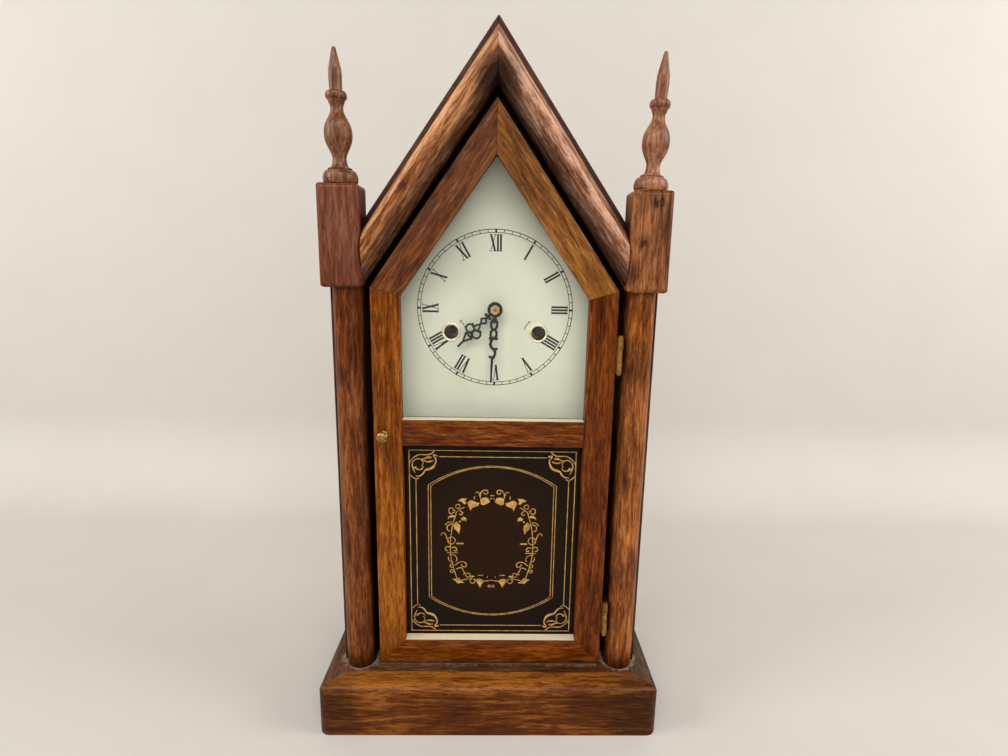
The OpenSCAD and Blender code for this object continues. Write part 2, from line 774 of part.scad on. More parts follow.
module door_bottom_rail() color(wood_orange) difference() {
    upright(door_y, door_t) polygon([
        [-door_half, door_z], [door_half, door_z], [light_half, lower_light_z], [-light_half, lower_light_z],
    ]);
    rabbet();
}

module door_middle_rail() color(wood_orange) difference() {
    translate([-light_half, door_y, middle_rail_z]) cube([2 * light_half, door_t, middle_rail_h]);
    rabbet();
}

module door_gable_rail() difference() {
    upright(door_y, door_t) polygon([
        [0, gable_z(light_gable, 0)], [light_half, gable_z(light_gable, light_half)],
        [door_half, gable_z(door_gable, door_half)], [0, gable_z(door_gable, 0)],
    ]);
    rabbet();
}

module door_left_gable_rail() color(wood_orange) on_side(-1) door_gable_rail();

module door_right_gable_rail() color(wood_red) door_gable_rail();

module upper_glass() color(glass_clear) upright(glass_y, glass_t)
    polygon(house(light_half + glass_lap, upper_light_z - glass_lap, light_gable - glass_lap));

module tablet_glass() color(glass_dark) upright(glass_y, glass_t)
    translate([-light_half - glass_lap, lower_light_z - glass_lap])
        square([2 * (light_half + glass_lap), lower_light_h + 2 * glass_lap]);

// Putty round the back of each glass
module glazing_putty() color(putty_grey) upright(glass_y + glass_t, putty_t) {
    difference() {
        polygon(house(light_half + glass_lap, upper_light_z - glass_lap, light_gable - glass_lap));
        polygon(house(light_half + 1, upper_light_z - 1, light_gable - 1));
    }
    difference() {
        translate([-light_half - glass_lap, lower_light_z - glass_lap])
            square([2 * (light_half + glass_lap), lower_light_h + 2 * glass_lap]);
        translate([-light_half - 1, lower_light_z - 1]) square([2 * light_half + 2, lower_light_h + 2]);
    }
}

// Hinge leaf on the post's side, with the upper and lower knuckles
module hinge_case_leaf() difference() {
    union() {
        for (z = [-1, 1]) translate([0, 0, z * knuckle_h - knuckle_h / 2])
            cylinder(h = knuckle_h, r = knuckle_r);
        for (z = [-1, 1]) translate([door_gap / 2 - leaf_t, 0, z * knuckle_h - knuckle_h / 2])
            cube([leaf_t, leaf_l, knuckle_h]);
        translate([door_gap / 2 - leaf_t, knuckle_r + knuckle_gap, -knuckle_h])
            cube([leaf_t, leaf_l - knuckle_r - knuckle_gap, 2 * knuckle_h]);
    }
    translate([0, 0, -hinge_h]) cylinder(h = 2 * hinge_h, r = hinge_pin_r + fit);
}

module hinge_case_leaves() color(brass) difference() {
    at_hinges() hinge_case_leaf();
    at_hinge_screws() translate([door_gap / 2 - leaf_t, 0, 0]) rotate([0, 90, 0])
        screw(hinge_head_r, hinge_screw_r, hinge_screw_l, fit);
}

// Hinge leaf on the door's edge, with the middle knuckle
module hinge_door_leaf() difference() {
    middle_h = knuckle_h - 2 * knuckle_gap;
    union() {
        translate([0, 0, -middle_h / 2]) cylinder(h = middle_h, r = knuckle_r);
        translate([-door_gap / 2, 0, -middle_h / 2]) cube([leaf_t, leaf_l, middle_h]);
        translate([-door_gap / 2, knuckle_r + knuckle_gap, -hinge_h / 2])
            cube([leaf_t, leaf_l - knuckle_r - knuckle_gap, hinge_h]);
    }
    translate([0, 0, -hinge_h]) cylinder(h = 2 * hinge_h, r = hinge_pin_r + fit);
}

module hinge_door_leaves() color(brass) difference() {
    at_hinges() hinge_door_leaf();
    at_hinge_screws() translate([-door_gap / 2 + leaf_t, 0, 0]) rotate([0, -90, 0])
        screw(hinge_head_r, hinge_screw_r, hinge_screw_l, fit);
}

module hinge_pins() color(brass) at_hinges() {
    translate([0, 0, -hinge_h / 2 - 0.5]) cylinder(h = hinge_h + 1, r = hinge_pin_r);
    for (z = [-hinge_h / 2 - 1, hinge_h / 2]) translate([0, 0, z]) cylinder(h = 1, r = knuckle_r - 0.3);
}

module door_hinge_screws() color(brass)
    at_hinge_screws() translate([-door_gap / 2 + leaf_t, 0, 0]) rotate([0, -90, 0])
        screw(hinge_head_r, hinge_screw_r, hinge_screw_l);

// Turned knob whose shaft goes through the stile to the tongue
module latch_knob() color(brass) translate([knob_x, door_y, knob_z]) rotate([90, 0, 0]) {
    head = knob_d / 2;
    rotate_extrude() polygon(concat(
        [[0, 0], [head * 0.75, 0], [head * 0.75, 0.8], [head * 0.45, 1.6], [head * 0.45, knob_l - head * 1.3]],
        [for (i = [0:10]) let (a = -60 + 15 * i) [head * cos(a), knob_l - head * 0.6 + head * 0.6 * sin(a)]]
    ));
    translate([0, 0, -door_t - stop_gap - tongue_t]) cylinder(h = door_t + stop_gap + tongue_t + 1, r = knob_shaft_r);
}

// Tongue behind the door, at rest pointing down; a quarter turn puts it in the post
module latch_tongue() color(brass) upright(door_back + stop_gap, tongue_t)
    translate([knob_x, knob_z]) difference() {
        union() {
            circle(tongue_w / 2);
            translate([-tongue_w / 2, -tongue_l]) square([tongue_w, tongue_l]);
        }
        circle(knob_shaft_r + fit / 2);
    }

// Dial

module dial_plate() color(dial_cream) difference() {
    upright(dial_y, dial_t) polygon(house(dial_w / 2, dial_z - dial_below, dial_gable_in));
    shaft(centre_at, dial_y - 1, dial_back + 1, dial_centre_r);
    for (at = [time_at, strike_at]) shaft(at, dial_y - 1, dial_back + 1, winding_hole_r + 0.6 + fit);
    at_dial_screws() translate([0, 0, -1]) cylinder(h = 3, r = dial_screw_r + fit);
}

// Brass grommet with a rolled lip
module dial_grommets() color(brass) for (at = [time_at, strike_at])
    translate([at[0], dial_y, dial_z + at[1]]) rotate([90, 0, 0]) rotate_extrude() {
        lip = grommet_r - winding_hole_r;
        intersection() {
            translate([winding_hole_r + lip / 2, 0]) circle(lip / 2, $fn = 32);
            translate([0, 0]) square([grommet_r + 1, lip]);
        }
        translate([winding_hole_r, -dial_t - 0.4]) square([0.6, dial_t + 1]);
    }

// Hands, drawn pointing up from their hub

// Hour hand: a diamond near the hub, two rings side by side and an open arrow
module hour_hand_outline() {
    line = 1.45;
    k = hour_hand_l / 38.6;
    ring_r = 3;
    circle(hand_hub_r);
    stroke([[0, 0], [0, 9.2 * k]], 2);
    stroke([[-2, 7.4 * k], [2, 7.4 * k]], 2);
    stroke([[0, 9 * k], [-2.3, 11.8 * k], [0, 14.6 * k], [2.3, 11.8 * k], [0, 9 * k]], line);
    stroke([[0, 14.4 * k], [0, 16 * k]], 1.7);
    for (side = [-1, 1]) {
        stroke([[0, 15.6 * k], [side * 1.2, 17.2 * k], [side * 1.9, 19 * k], [side * 2.6, 20.2 * k]], line);
        translate([side * 4, 19.2 * k]) circle(1, $fn = 24);
        translate([side * 3.2, 22.6 * k]) difference() {
            circle(ring_r + line / 2);
            circle(ring_r - line / 2);
        }
        stroke([[side * 0.4, 24.8 * k], [side * 2.9, 27.4 * k], [0, 33.4 * k]], line);
    }
    stroke([[-2.6, 27.2 * k], [2.6, 27.2 * k]], line);
    stroke([[0, 33 * k], [0, hour_hand_l - 0.5]], 1.6);
}

// Minute hand: two loops near the hub, then a curve with two barbs and a long point
module minute_hand_outline() {
    line = 1.75;
    k = minute_hand_l / 53.9;
    circle(hand_hub_r);
    stroke([[0, 0], [0, 8.2 * k]], 3);
    for (side = [-1, 1])
        stroke([[side * 1.2, 7.4 * k], [side * 2.2, 9.4 * k], [side * 2.1, 12.2 * k], [side * 0.9, 14.4 * k],
            [side * 2, 16.2 * k], [side * 2.1, 18.6 * k], [side * 0.8, 20.8 * k]], line);
    stroke([[-0.8, 14.4 * k], [0.8, 14.4 * k]], 2);
    stroke([[-2.2, 20.8 * k], [2.2, 20.8 * k]], 2.2);
    stroke([[0.3, 21 * k], [1.5, 23 * k], [1.9, 25.5 * k], [1, 27.6 * k], [-0.8, 28.9 * k],
        [-1.8, 30.6 * k], [-1.9, 32.4 * k], [-1.2, 34.2 * k], [0, 36 * k]], 2);
    stroke([[-0.8, 28.9 * k], [-2.7, 28.5 * k]], 1.8);
    stroke([[-0.9, 35 * k], [1.7, 34.6 * k]], 1.8);
    polygon([[-1, 35.4 * k], [1, 35.4 * k], [0.55, minute_hand_l], [-0.55, minute_hand_l]]);
}

pipe_r = centre_r + fit + 1.6;
hand_arbor_r = 1.2;

module hour_hand() color(black_steel) upright(hour_hand_y, hand_t) difference() {
    from_centre(centre_at) rotate(-hour_angle) hour_hand_outline();
    from_centre(centre_at) circle(pipe_r + fit / 2);
}

module minute_hand() color(black_steel) upright(minute_hand_y, hand_t) difference() {
    from_centre(centre_at) rotate(-minute_angle) minute_hand_outline();
    from_centre(centre_at) circle(hand_arbor_r + fit / 2);
}

module hand_nut() color(brass) upright(minute_hand_y - nut_t, nut_t) difference() {
    from_centre(centre_at) rotate(30) circle(nut_w / 2 / cos(30), $fn = 6);
    from_centre(centre_at) circle(hand_arbor_r + fit / 2);
}

// Wheels and pinions

// Outline of a toothed wheel, with a gap between teeth pointing along the angle
function wheel_outline(teeth, m, gap_at, tip = 0.2, root = 0.6, addendum = 1, dedendum = 1.4) = [
    for (i = [0:teeth - 1], corner = [[-dedendum, -root], [addendum, -tip], [addendum, tip], [-dedendum, root]])
        let (a = gap_at + (i + 0.5) * 360 / teeth + corner[1] * 180 / teeth, r = teeth * m / 2 + corner[0] * m)
            [r * cos(a), r * sin(a)]
];

// Openings between the arms of a wheel
module crossings(arms, r_in, r_out, arm_w) difference() {
    circle(r_out);
    circle(r_in);
    for (i = [0:arms - 1]) rotate(90 + i * 360 / arms) translate([0, -arm_w / 2]) square([r_out + 1, arm_w]);
}

module wheel(at, y, t, teeth, m, gap_at, arms, bore_r) upright(y, t) from_centre(at) difference() {
    rim = teeth * m / 2 - 1.4 * m;
    polygon(wheel_outline(teeth, m, gap_at));
    if (arms > 0) crossings(arms, rim * 0.28, rim - max(1.6, m * 3), rim * 0.16);
    if (bore_r > 0) circle(bore_r);
}

// Lantern pinion round a wheel's rim: pins between two caps, with a pin pointing along the angle
module lantern(at, wheel_y, wheel_thick, m, pin_at, bore_r) {
    r = leaves * m / 2;
    pin_r = 0.42 * m;
    y0 = wheel_y - pinion_side - cap_t;
    y1 = wheel_y + wheel_thick + pinion_side;
    difference() {
        union() {
            for (y = [y0, y1]) shaft(at, y, y + cap_t, r + pin_r + 0.5);
            for (i = [0:leaves - 1]) {
                a = pin_at + i * 360 / leaves;
                shaft(at + r * [cos(a), sin(a)], y0 + cap_t / 2, y1 + cap_t / 2, pin_r);
            }
        }
        if (bore_r > 0) shaft(at, y0 - 1, y1 + cap_t + 1, bore_r);
    }
}

module arbor(at) {
    shaft(at, works_y + end_shake, back_plate_y - end_shake, arbor_r);
    shaft(at, front_plate_y, works_back, pivot_r);
}

module centre_arbor() color(steel) {
    shaft(centre_at, minute_hand_y, back_plate_y - end_shake, hand_arbor_r);
    shaft(centre_at, hour_hand_y - 0.5, back_plate_y - end_shake, centre_r);
    shaft(centre_at, minute_hand_y - nut_t - 0.8, minute_hand_y, hand_arbor_r);
    shaft(centre_at, back_plate_y - end_shake, works_back, pivot_r);
    upright(front_plate_y - 2.9, 2.2) from_centre(centre_at)
        polygon(wheel_outline(cannon_teeth, motion_module, minute_arbor_angle + 180 / cannon_teeth,
            0.2, 0.62, 0.8, 1.3));
}

module minute_wheel() color(brass) difference() {
    union() {
        upright(front_plate_y - 2.5, 1.4) from_centre(minute_at)
            polygon(wheel_outline(minute_teeth, motion_module, minute_arbor_angle + 180, 0.2, 0.62, 0.8, 1.3));
        upright(front_plate_y - 5.7, 3.3) from_centre(minute_at)
            polygon(wheel_outline(minute_leaves, hour_module, minute_arbor_angle + 180 + 180 / minute_leaves,
                0.2, 0.62, 0.8, 1.3));
    }
    shaft(minute_at, front_plate_y - 8, front_plate_y, minute_stud_r + fit);
}

module hour_wheel() color(brass) difference() {
    union() {
        upright(front_plate_y - 5.3, 1.2) from_centre(centre_at)
            polygon(wheel_outline(hour_teeth, hour_module, minute_arbor_angle, 0.2, 0.62, 0.8, 1.3));
        shaft(centre_at, hour_hand_y - 0.3, front_plate_y - 4.5, pipe_r);
    }
    shaft(centre_at, hour_hand_y - 1, front_plate_y, centre_r + fit);
}

module centre_wheel() color(brass) {
    bore = centre_r + fit;
    pipe = bore + 0.4;
    wheel(centre_at, centre_wheel_y, wheel_t, centre_teeth, train_module,
        direction(centre_at, third_at), 5, bore);
    difference() {
        union() {
            shaft(centre_at, great_y - pinion_side - cap_t, centre_wheel_y + wheel_t, pipe);
            shaft(centre_at, centre_wheel_y - 1.2, centre_wheel_y + wheel_t + 1.2, 4);
        }
        shaft(centre_at, great_y - 3, centre_wheel_y + wheel_t + 3, bore);
    }
    lantern(centre_at, great_y, great_t, great_module, direction(centre_at, time_at), bore);
}

module third_wheel() color(brass) {
    arbor(third_at);
    lantern(third_at, centre_wheel_y, wheel_t, train_module, direction(third_at, centre_at), 0);
    wheel(third_at, third_wheel_y, wheel_t, third_teeth, train_module,
        direction(third_at, escape_at), 5, 0);
}

escape_depth = 1.4;

module escape_outline() polygon([
    for (i = [0:escape_teeth - 1], corner = [[-escape_depth, -2.6], [0, -0.5], [0, 0.5], [-escape_depth, 1.6]])
        let (a = (i + 0.5) * 360 / escape_teeth + corner[1], r = escape_r + corner[0]) [r * cos(a), r * sin(a)]
]);

module escape_wheel() color(brass) {
    shaft(escape_at, escape_y - 0.6, back_plate_y - end_shake, arbor_r);
    shaft(escape_at, back_plate_y - end_shake, works_back, pivot_r);
    upright(escape_y, 1) from_centre(escape_at) difference() {
        escape_outline();
        crossings(4, 4, escape_r - escape_depth - 1.6, 1.8);
    }
    lantern(escape_at, third_wheel_y, wheel_t, train_module, direction(escape_at, third_at), 0);
}

// Great wheel with its hub and its click
module great_wheel(at, teeth, m, gap_at) {
    wheel(at, great_y, great_t, teeth, m, gap_at, 5, winding_arbor_r + fit);
    upright(great_y + great_t, ratchet_t) from_centre(at) translate([0, ratchet_r + 2.2])
        square([7, 3.4], center = true);
}

module time_great_wheel() color(brass)
    great_wheel(time_at, great_teeth, great_module, direction(time_at, centre_at));

module strike_great_wheel() color(brass)
    great_wheel(strike_at, strike_teeth, strike_module, direction(strike_at, pin_wheel_at));

// Arbor that the key turns: square, great wheel seat, ratchet and spring barrel
module winding_arbor(at) {
    square_end = dial_y + 2;
    upright(square_end, front_plate_y - square_end - 1) from_centre(at)
        square(winding_square, center = true);
    shaft(at, front_plate_y - 1, back_plate_y - end_shake, winding_arbor_r);
    shaft(at, back_plate_y - end_shake, works_back, winding_pivot_r);
    upright(ratchet_y, ratchet_t) from_centre(at) polygon([
        for (i = [0:17], corner = [[-1.6, 0], [0, 2], [0, 5], [-1.6, 6]])
            let (a = i * 20 + corner[1], r = ratchet_r + corner[0]) [r * cos(a), r * sin(a)]
    ]);
    shaft(at, spring_y, spring_y + spring_w, spring_core_r);
}

module time_winding_arbor() color(steel) winding_arbor(time_at);

module strike_winding_arbor() color(steel) winding_arbor(strike_at);

// Flat spiral strip between two radii
function spiral(r0, r1, turns, steps) =
    [for (i = [0:steps]) let (a = 360 * turns * i / steps, r = r0 + (r1 - r0) * i / steps) [r * cos(a), r * sin(a)]];

module spiral_strip(r0, r1, turns, t, steps) polygon(concat(
    spiral(r0 - t / 2, r1 - t / 2, turns, steps),
    [for (i = [steps:-1:0]) spiral(r0 + t / 2, r1 + t / 2, turns, steps)[i]]
));

spring_start_r = spring_core_r + 0.3 + spring_t / 2;
spring_gap = (spring_r - spring_start_r) / spring_turns - spring_t;
gong_start_r = gong_core_r + gong_t / 2 - 0.5;
gong_gap = (gong_r - gong_start_r) / gong_turns - gong_t;
echo(least_gap_in_mainspring = spring_gap, least_gap_in_gong = gong_gap);

module mainsprings() color(steel) for (at = [time_at, strike_at])
    upright(spring_y, spring_w) from_centre(at)
        spiral_strip(spring_start_r, spring_r, spring_turns, spring_t, spring_turns * 18);

module plate_outline() {
    corner = 4;
    for (dx = [0, corner]) translate([-plate_w / 2 + dx, -plate_bottom + corner - dx])
        square([plate_w - 2 * dx, plate_top + plate_bottom - 2 * corner + 2 * dx]);
    for (x = [-1, 1], z = [-plate_bottom + corner, plate_top - corner])
        translate([x * (plate_w / 2 - corner), z]) circle(corner);
}

// Holes of both plates: [place, radius]
pivot_holes = [
    [third_at, pivot_r + fit], [pin_wheel_at, pivot_r + fit], [fly_at, pivot_r + fit],
    [hammer_at, pivot_r + fit],
];

module plate_holes(extra) for (hole = concat(pivot_holes, extra)) from_centre(hole[0]) circle(hole[1]);

verge_pin_r = 1;
stud_w = 4;
hanger_gap = 0.1;

module front_plate() color(brass) {
    upright(front_plate_y, plate_t) difference() {
        from_centre(centre_at) plate_outline();
        plate_holes([
            [centre_at, centre_r + fit], [escape_at, arbor_r + fit],
            [time_at, winding_arbor_r + fit], [strike_at, winding_arbor_r + fit],
        ]);
        for (side = [-1, 1], z = pillar_zs) translate([side * pillar_x, z]) circle(tenon_r + fit);
    }
    shaft(minute_at, front_plate_y - 6.5, front_plate_y + plate_t / 2, minute_stud_r);
    shaft([0, -verge_drop], front_plate_y - 7.3, front_plate_y + plate_t / 2, verge_pin_r);
    translate([-stud_w / 2, pendulum_y - 2.2, verge_z + 3]) cube([stud_w, front_plate_y - pendulum_y + 2.7, 3]);
    translate([-stud_w / 2, pendulum_y - 2.2, verge_z + hanger_gap]) cube([stud_w, 4.2, 3]);
}

// Back plate with its four pillars, whose ends reach the back board
module back_plate() color(brass) difference() {
    union() {
        upright(back_plate_y, plate_t) difference() {
            from_centre(centre_at) plate_outline();
            plate_holes([
                [centre_at, pivot_r + fit], [escape_at, pivot_r + fit],
                [time_at, winding_pivot_r + fit], [strike_at, winding_pivot_r + fit],
            ]);
        }
        for (side = [-1, 1], z = pillar_zs) {
            at = [side * pillar_x, z - dial_z];
            shaft(at, works_y, back_y - back_t, pillar_r);
            shaft(at, works_y - plate_t - tenon_l, works_y + 1, tenon_r);
        }
    }
    at_pillars() screw(screw_head_r, mount_screw_r, mount_screw_l, fit);
    for (side = [-1, 1], z = pillar_zs)
        translate([side * pillar_x, front_plate_y - taper_pin_r - 0.1, z - 4])
            cylinder(h = 8, r = taper_pin_r + fit / 2);
}

// Anchor on the verge pin, with the crutch that moves the pendulum
module verge() color(steel) difference() {
    crutch_y = front_plate_y - 6.3;
    crutch_l = 31;
    pallet_in = escape_r + 0.25;
    union() {
        shaft([0, -verge_drop], front_plate_y - 6.8, front_plate_y - 0.9, 2);
        upright(escape_y - 0.1, 1.2) for (side = [-1, 1]) {
            far = [side * (pallet_in + 2.4) * cos(45), (pallet_in + 2.4) * sin(45) - escape_drop];
            near = [side * pallet_in * cos(45), pallet_in * sin(45) - escape_drop];
            from_centre(centre_at) {
                stroke([[side * 1.2, -verge_drop + 0.4], far], 1.6);
                difference() {
                    stroke([far, near], 0.8);
                    translate(escape_at) circle(pallet_in - 0.05);
                }
            }
        }
        translate([0, crutch_y, verge_z - crutch_l]) cylinder(h = crutch_l, r = 0.5);
        shaft([0, -verge_drop - crutch_l], pendulum_y + 1.6, crutch_y + 0.5, 0.5);
        translate([0, pendulum_y, verge_z - crutch_l - 0.6]) difference() {
            cylinder(h = 1.2, r = rod_r + 1.3);
            translate([0, 0, -1]) cylinder(h = 4, r = rod_r + 0.3);
        }
    }
    shaft([0, -verge_drop], front_plate_y - 9, front_plate_y, verge_pin_r + fit);
}

bob_z = verge_z - pendulum_l;
nut_h = 2.6;

// Suspension spring, rod and rating nut
module pendulum_rod() color(steel) {
    ribbon_l = 14;
    clamp_h = 4;
    thread_l = 3;
    rod_foot_z = bob_z - bob_r - nut_h - thread_l;
    translate([-0.1, pendulum_y - 2, verge_z - ribbon_l]) cube([0.2, 4, ribbon_l]);
    translate([-1.5, pendulum_y - 2.2, verge_z - ribbon_l - clamp_h / 2]) cube([3, 4.4, clamp_h]);
    translate([0, pendulum_y, rod_foot_z]) cylinder(h = verge_z - ribbon_l - rod_foot_z, r = rod_r);
    translate([0, pendulum_y, bob_z - bob_r - nut_h - 0.1]) cylinder(h = nut_h, r = 4);
}

// Lens-shaped bob that slides on the rod
module pendulum_bob() color(brass) difference() {
    lens_r = (pow(bob_r, 2) + pow(bob_t / 2, 2)) / bob_t;
    half_angle = asin(bob_r / lens_r);
    translate([0, pendulum_y, bob_z]) rotate([90, 0, 0]) rotate_extrude() polygon(concat(
        [for (i = [0:8]) let (a = half_angle * i / 8) [lens_r * sin(a), lens_r * cos(a) - lens_r + bob_t / 2]],
        [for (i = [7:-1:0]) let (a = half_angle * i / 8) [lens_r * sin(a), -lens_r * cos(a) + lens_r - bob_t / 2]]
    ));
    translate([0, pendulum_y, bob_z - bob_r - 1]) cylinder(h = 2 * bob_r + 2, r = rod_r + fit);
}

lifting_pin_reach = pin_wheel_teeth * train_module / 2 - 1.6;
lifting_pin_r = 0.5;

module strike_pin_wheel() color(brass) {
    arbor(pin_wheel_at);
    lantern(pin_wheel_at, great_y, great_t, strike_module, direction(pin_wheel_at, strike_at), 0);
    wheel(pin_wheel_at, third_wheel_y, wheel_t, pin_wheel_teeth, train_module,
        direction(pin_wheel_at, fly_at), 5, 0);
    for (i = [0:7]) {
        a = 22.5 + i * 45;
        shaft(pin_wheel_at + lifting_pin_reach * [cos(a), sin(a)],
            third_wheel_y + wheel_t / 2, third_wheel_y + wheel_t + 1.6, lifting_pin_r);
    }
}

fly_r = 12;

module strike_fly() color(brass) {
    arbor(fly_at);
    lantern(fly_at, third_wheel_y, wheel_t, train_module, direction(fly_at, pin_wheel_at), 0);
    upright(spring_y, spring_w - 2) from_centre(fly_at) rotate(20) square([2 * fly_r, 0.6], center = true);
}

hammer_gap = 2;
hammer_l = 12;

// Hammer on its arbor, at rest just clear of the gong
module hammer() color(steel) {
    wire_y = back_plate_y - 2;
    head = [gong_at[0] - gong_r - gong_t / 2 - hammer_gap - hammer_l, gong_at[1]];
    tail = norm(hammer_at - pin_wheel_at) - lifting_pin_reach - lifting_pin_r - 1.1;
    arbor(hammer_at);
    upright(wire_y - 0.8, 1.6) from_centre(hammer_at) rotate(direction(hammer_at, pin_wheel_at))
        stroke([[0, 0], [tail, 0]], 1.6);
    upright(wire_y - 0.8, 1.6) from_centre(centre_at) stroke([hammer_at, head + [hammer_l / 2, 0]], 1.6);
    translate([head[0], wire_y + hammer_r - 1.2, dial_z + head[1]]) rotate([0, 90, 0])
        cylinder(h = hammer_l, r = hammer_r);
}

// Coil gong on its cast foot
module gong() color(steel) {
    upright(gong_y, gong_w) from_centre(gong_at)
        spiral_strip(gong_start_r, gong_r, gong_turns, gong_t, gong_turns * 24);
    difference() {
        shaft(gong_at, gong_y - 1.5, back_y - back_t, gong_core_r);
        at_gong_screw() screw(screw_head_r, mount_screw_r, mount_screw_l, fit);
    }
}

base_front_rail();
base_left_rail();
base_right_rail();
base_floor_board();
left_side_board();
right_side_board();
left_roof_board();
right_roof_board();
back_board();
left_post();
right_post();
left_capital_block();
right_capital_block();
left_finial();
right_finial();
left_gable_moulding();
right_gable_moulding();
gable_frame_rails();
dial_battens();
screws_and_pins();
door_left_stile();
door_right_stile();
door_bottom_rail();
door_middle_rail();
door_left_gable_rail();
door_right_gable_rail();
upper_glass();
tablet_glass();
glazing_putty();
hinge_case_leaves();
hinge_door_leaves();
hinge_pins();
door_hinge_screws();
latch_knob();
latch_tongue();
dial_plate();
dial_grommets();
hour_hand();
minute_hand();
hand_nut();
front_plate();
back_plate();
mainsprings();
time_winding_arbor();
strike_winding_arbor();
time_great_wheel();
strike_great_wheel();
centre_arbor();
centre_wheel();
third_wheel();
escape_wheel();
minute_wheel();
hour_wheel();
verge();
pendulum_rod();
pendulum_bob();
strike_pin_wheel();
strike_fly();
hammer();
gong();
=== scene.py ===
"""Looks of the steeple clock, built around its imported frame.

Everything is in metres in the frame's own axes: X to the right, Y to the back and Z up.
Flat drawings, such as the numerals and the gold borders, are written in millimetres.
"""

import math

import bmesh
import bpy
from mathutils import Matrix, Vector


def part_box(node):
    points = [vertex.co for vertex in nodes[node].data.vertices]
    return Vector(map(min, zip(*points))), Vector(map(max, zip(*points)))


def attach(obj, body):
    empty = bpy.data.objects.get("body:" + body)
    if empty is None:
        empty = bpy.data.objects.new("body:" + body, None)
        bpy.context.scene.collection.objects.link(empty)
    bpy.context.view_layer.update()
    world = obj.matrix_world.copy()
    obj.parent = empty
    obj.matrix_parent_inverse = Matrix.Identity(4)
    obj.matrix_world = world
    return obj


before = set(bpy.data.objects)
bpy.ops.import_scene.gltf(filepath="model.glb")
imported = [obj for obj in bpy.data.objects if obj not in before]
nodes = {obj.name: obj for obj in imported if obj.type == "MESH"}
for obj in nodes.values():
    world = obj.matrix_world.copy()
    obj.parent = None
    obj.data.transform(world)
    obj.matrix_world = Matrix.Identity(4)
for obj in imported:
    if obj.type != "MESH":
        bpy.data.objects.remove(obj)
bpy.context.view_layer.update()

# A millimetre in metres, and a metre in millimetres
MM = 0.001
TO_MM = 1000

ROOF_PITCH = math.radians(55)

# How far the printing and the gold stand in front of the dial and the glass, in metres
PRINT_LIFT = 0.06 * MM


def srgb(red, green, blue):
    """A colour as a screen shows it, from 0 to 255, as linear values for a shader."""
    def linear(value):
        share = value / 255
        return share / 12.92 if share <= 0.04045 else ((share + 0.055) / 1.055) ** 2.4
    return (linear(red), linear(green), linear(blue), 1)


# Shader building

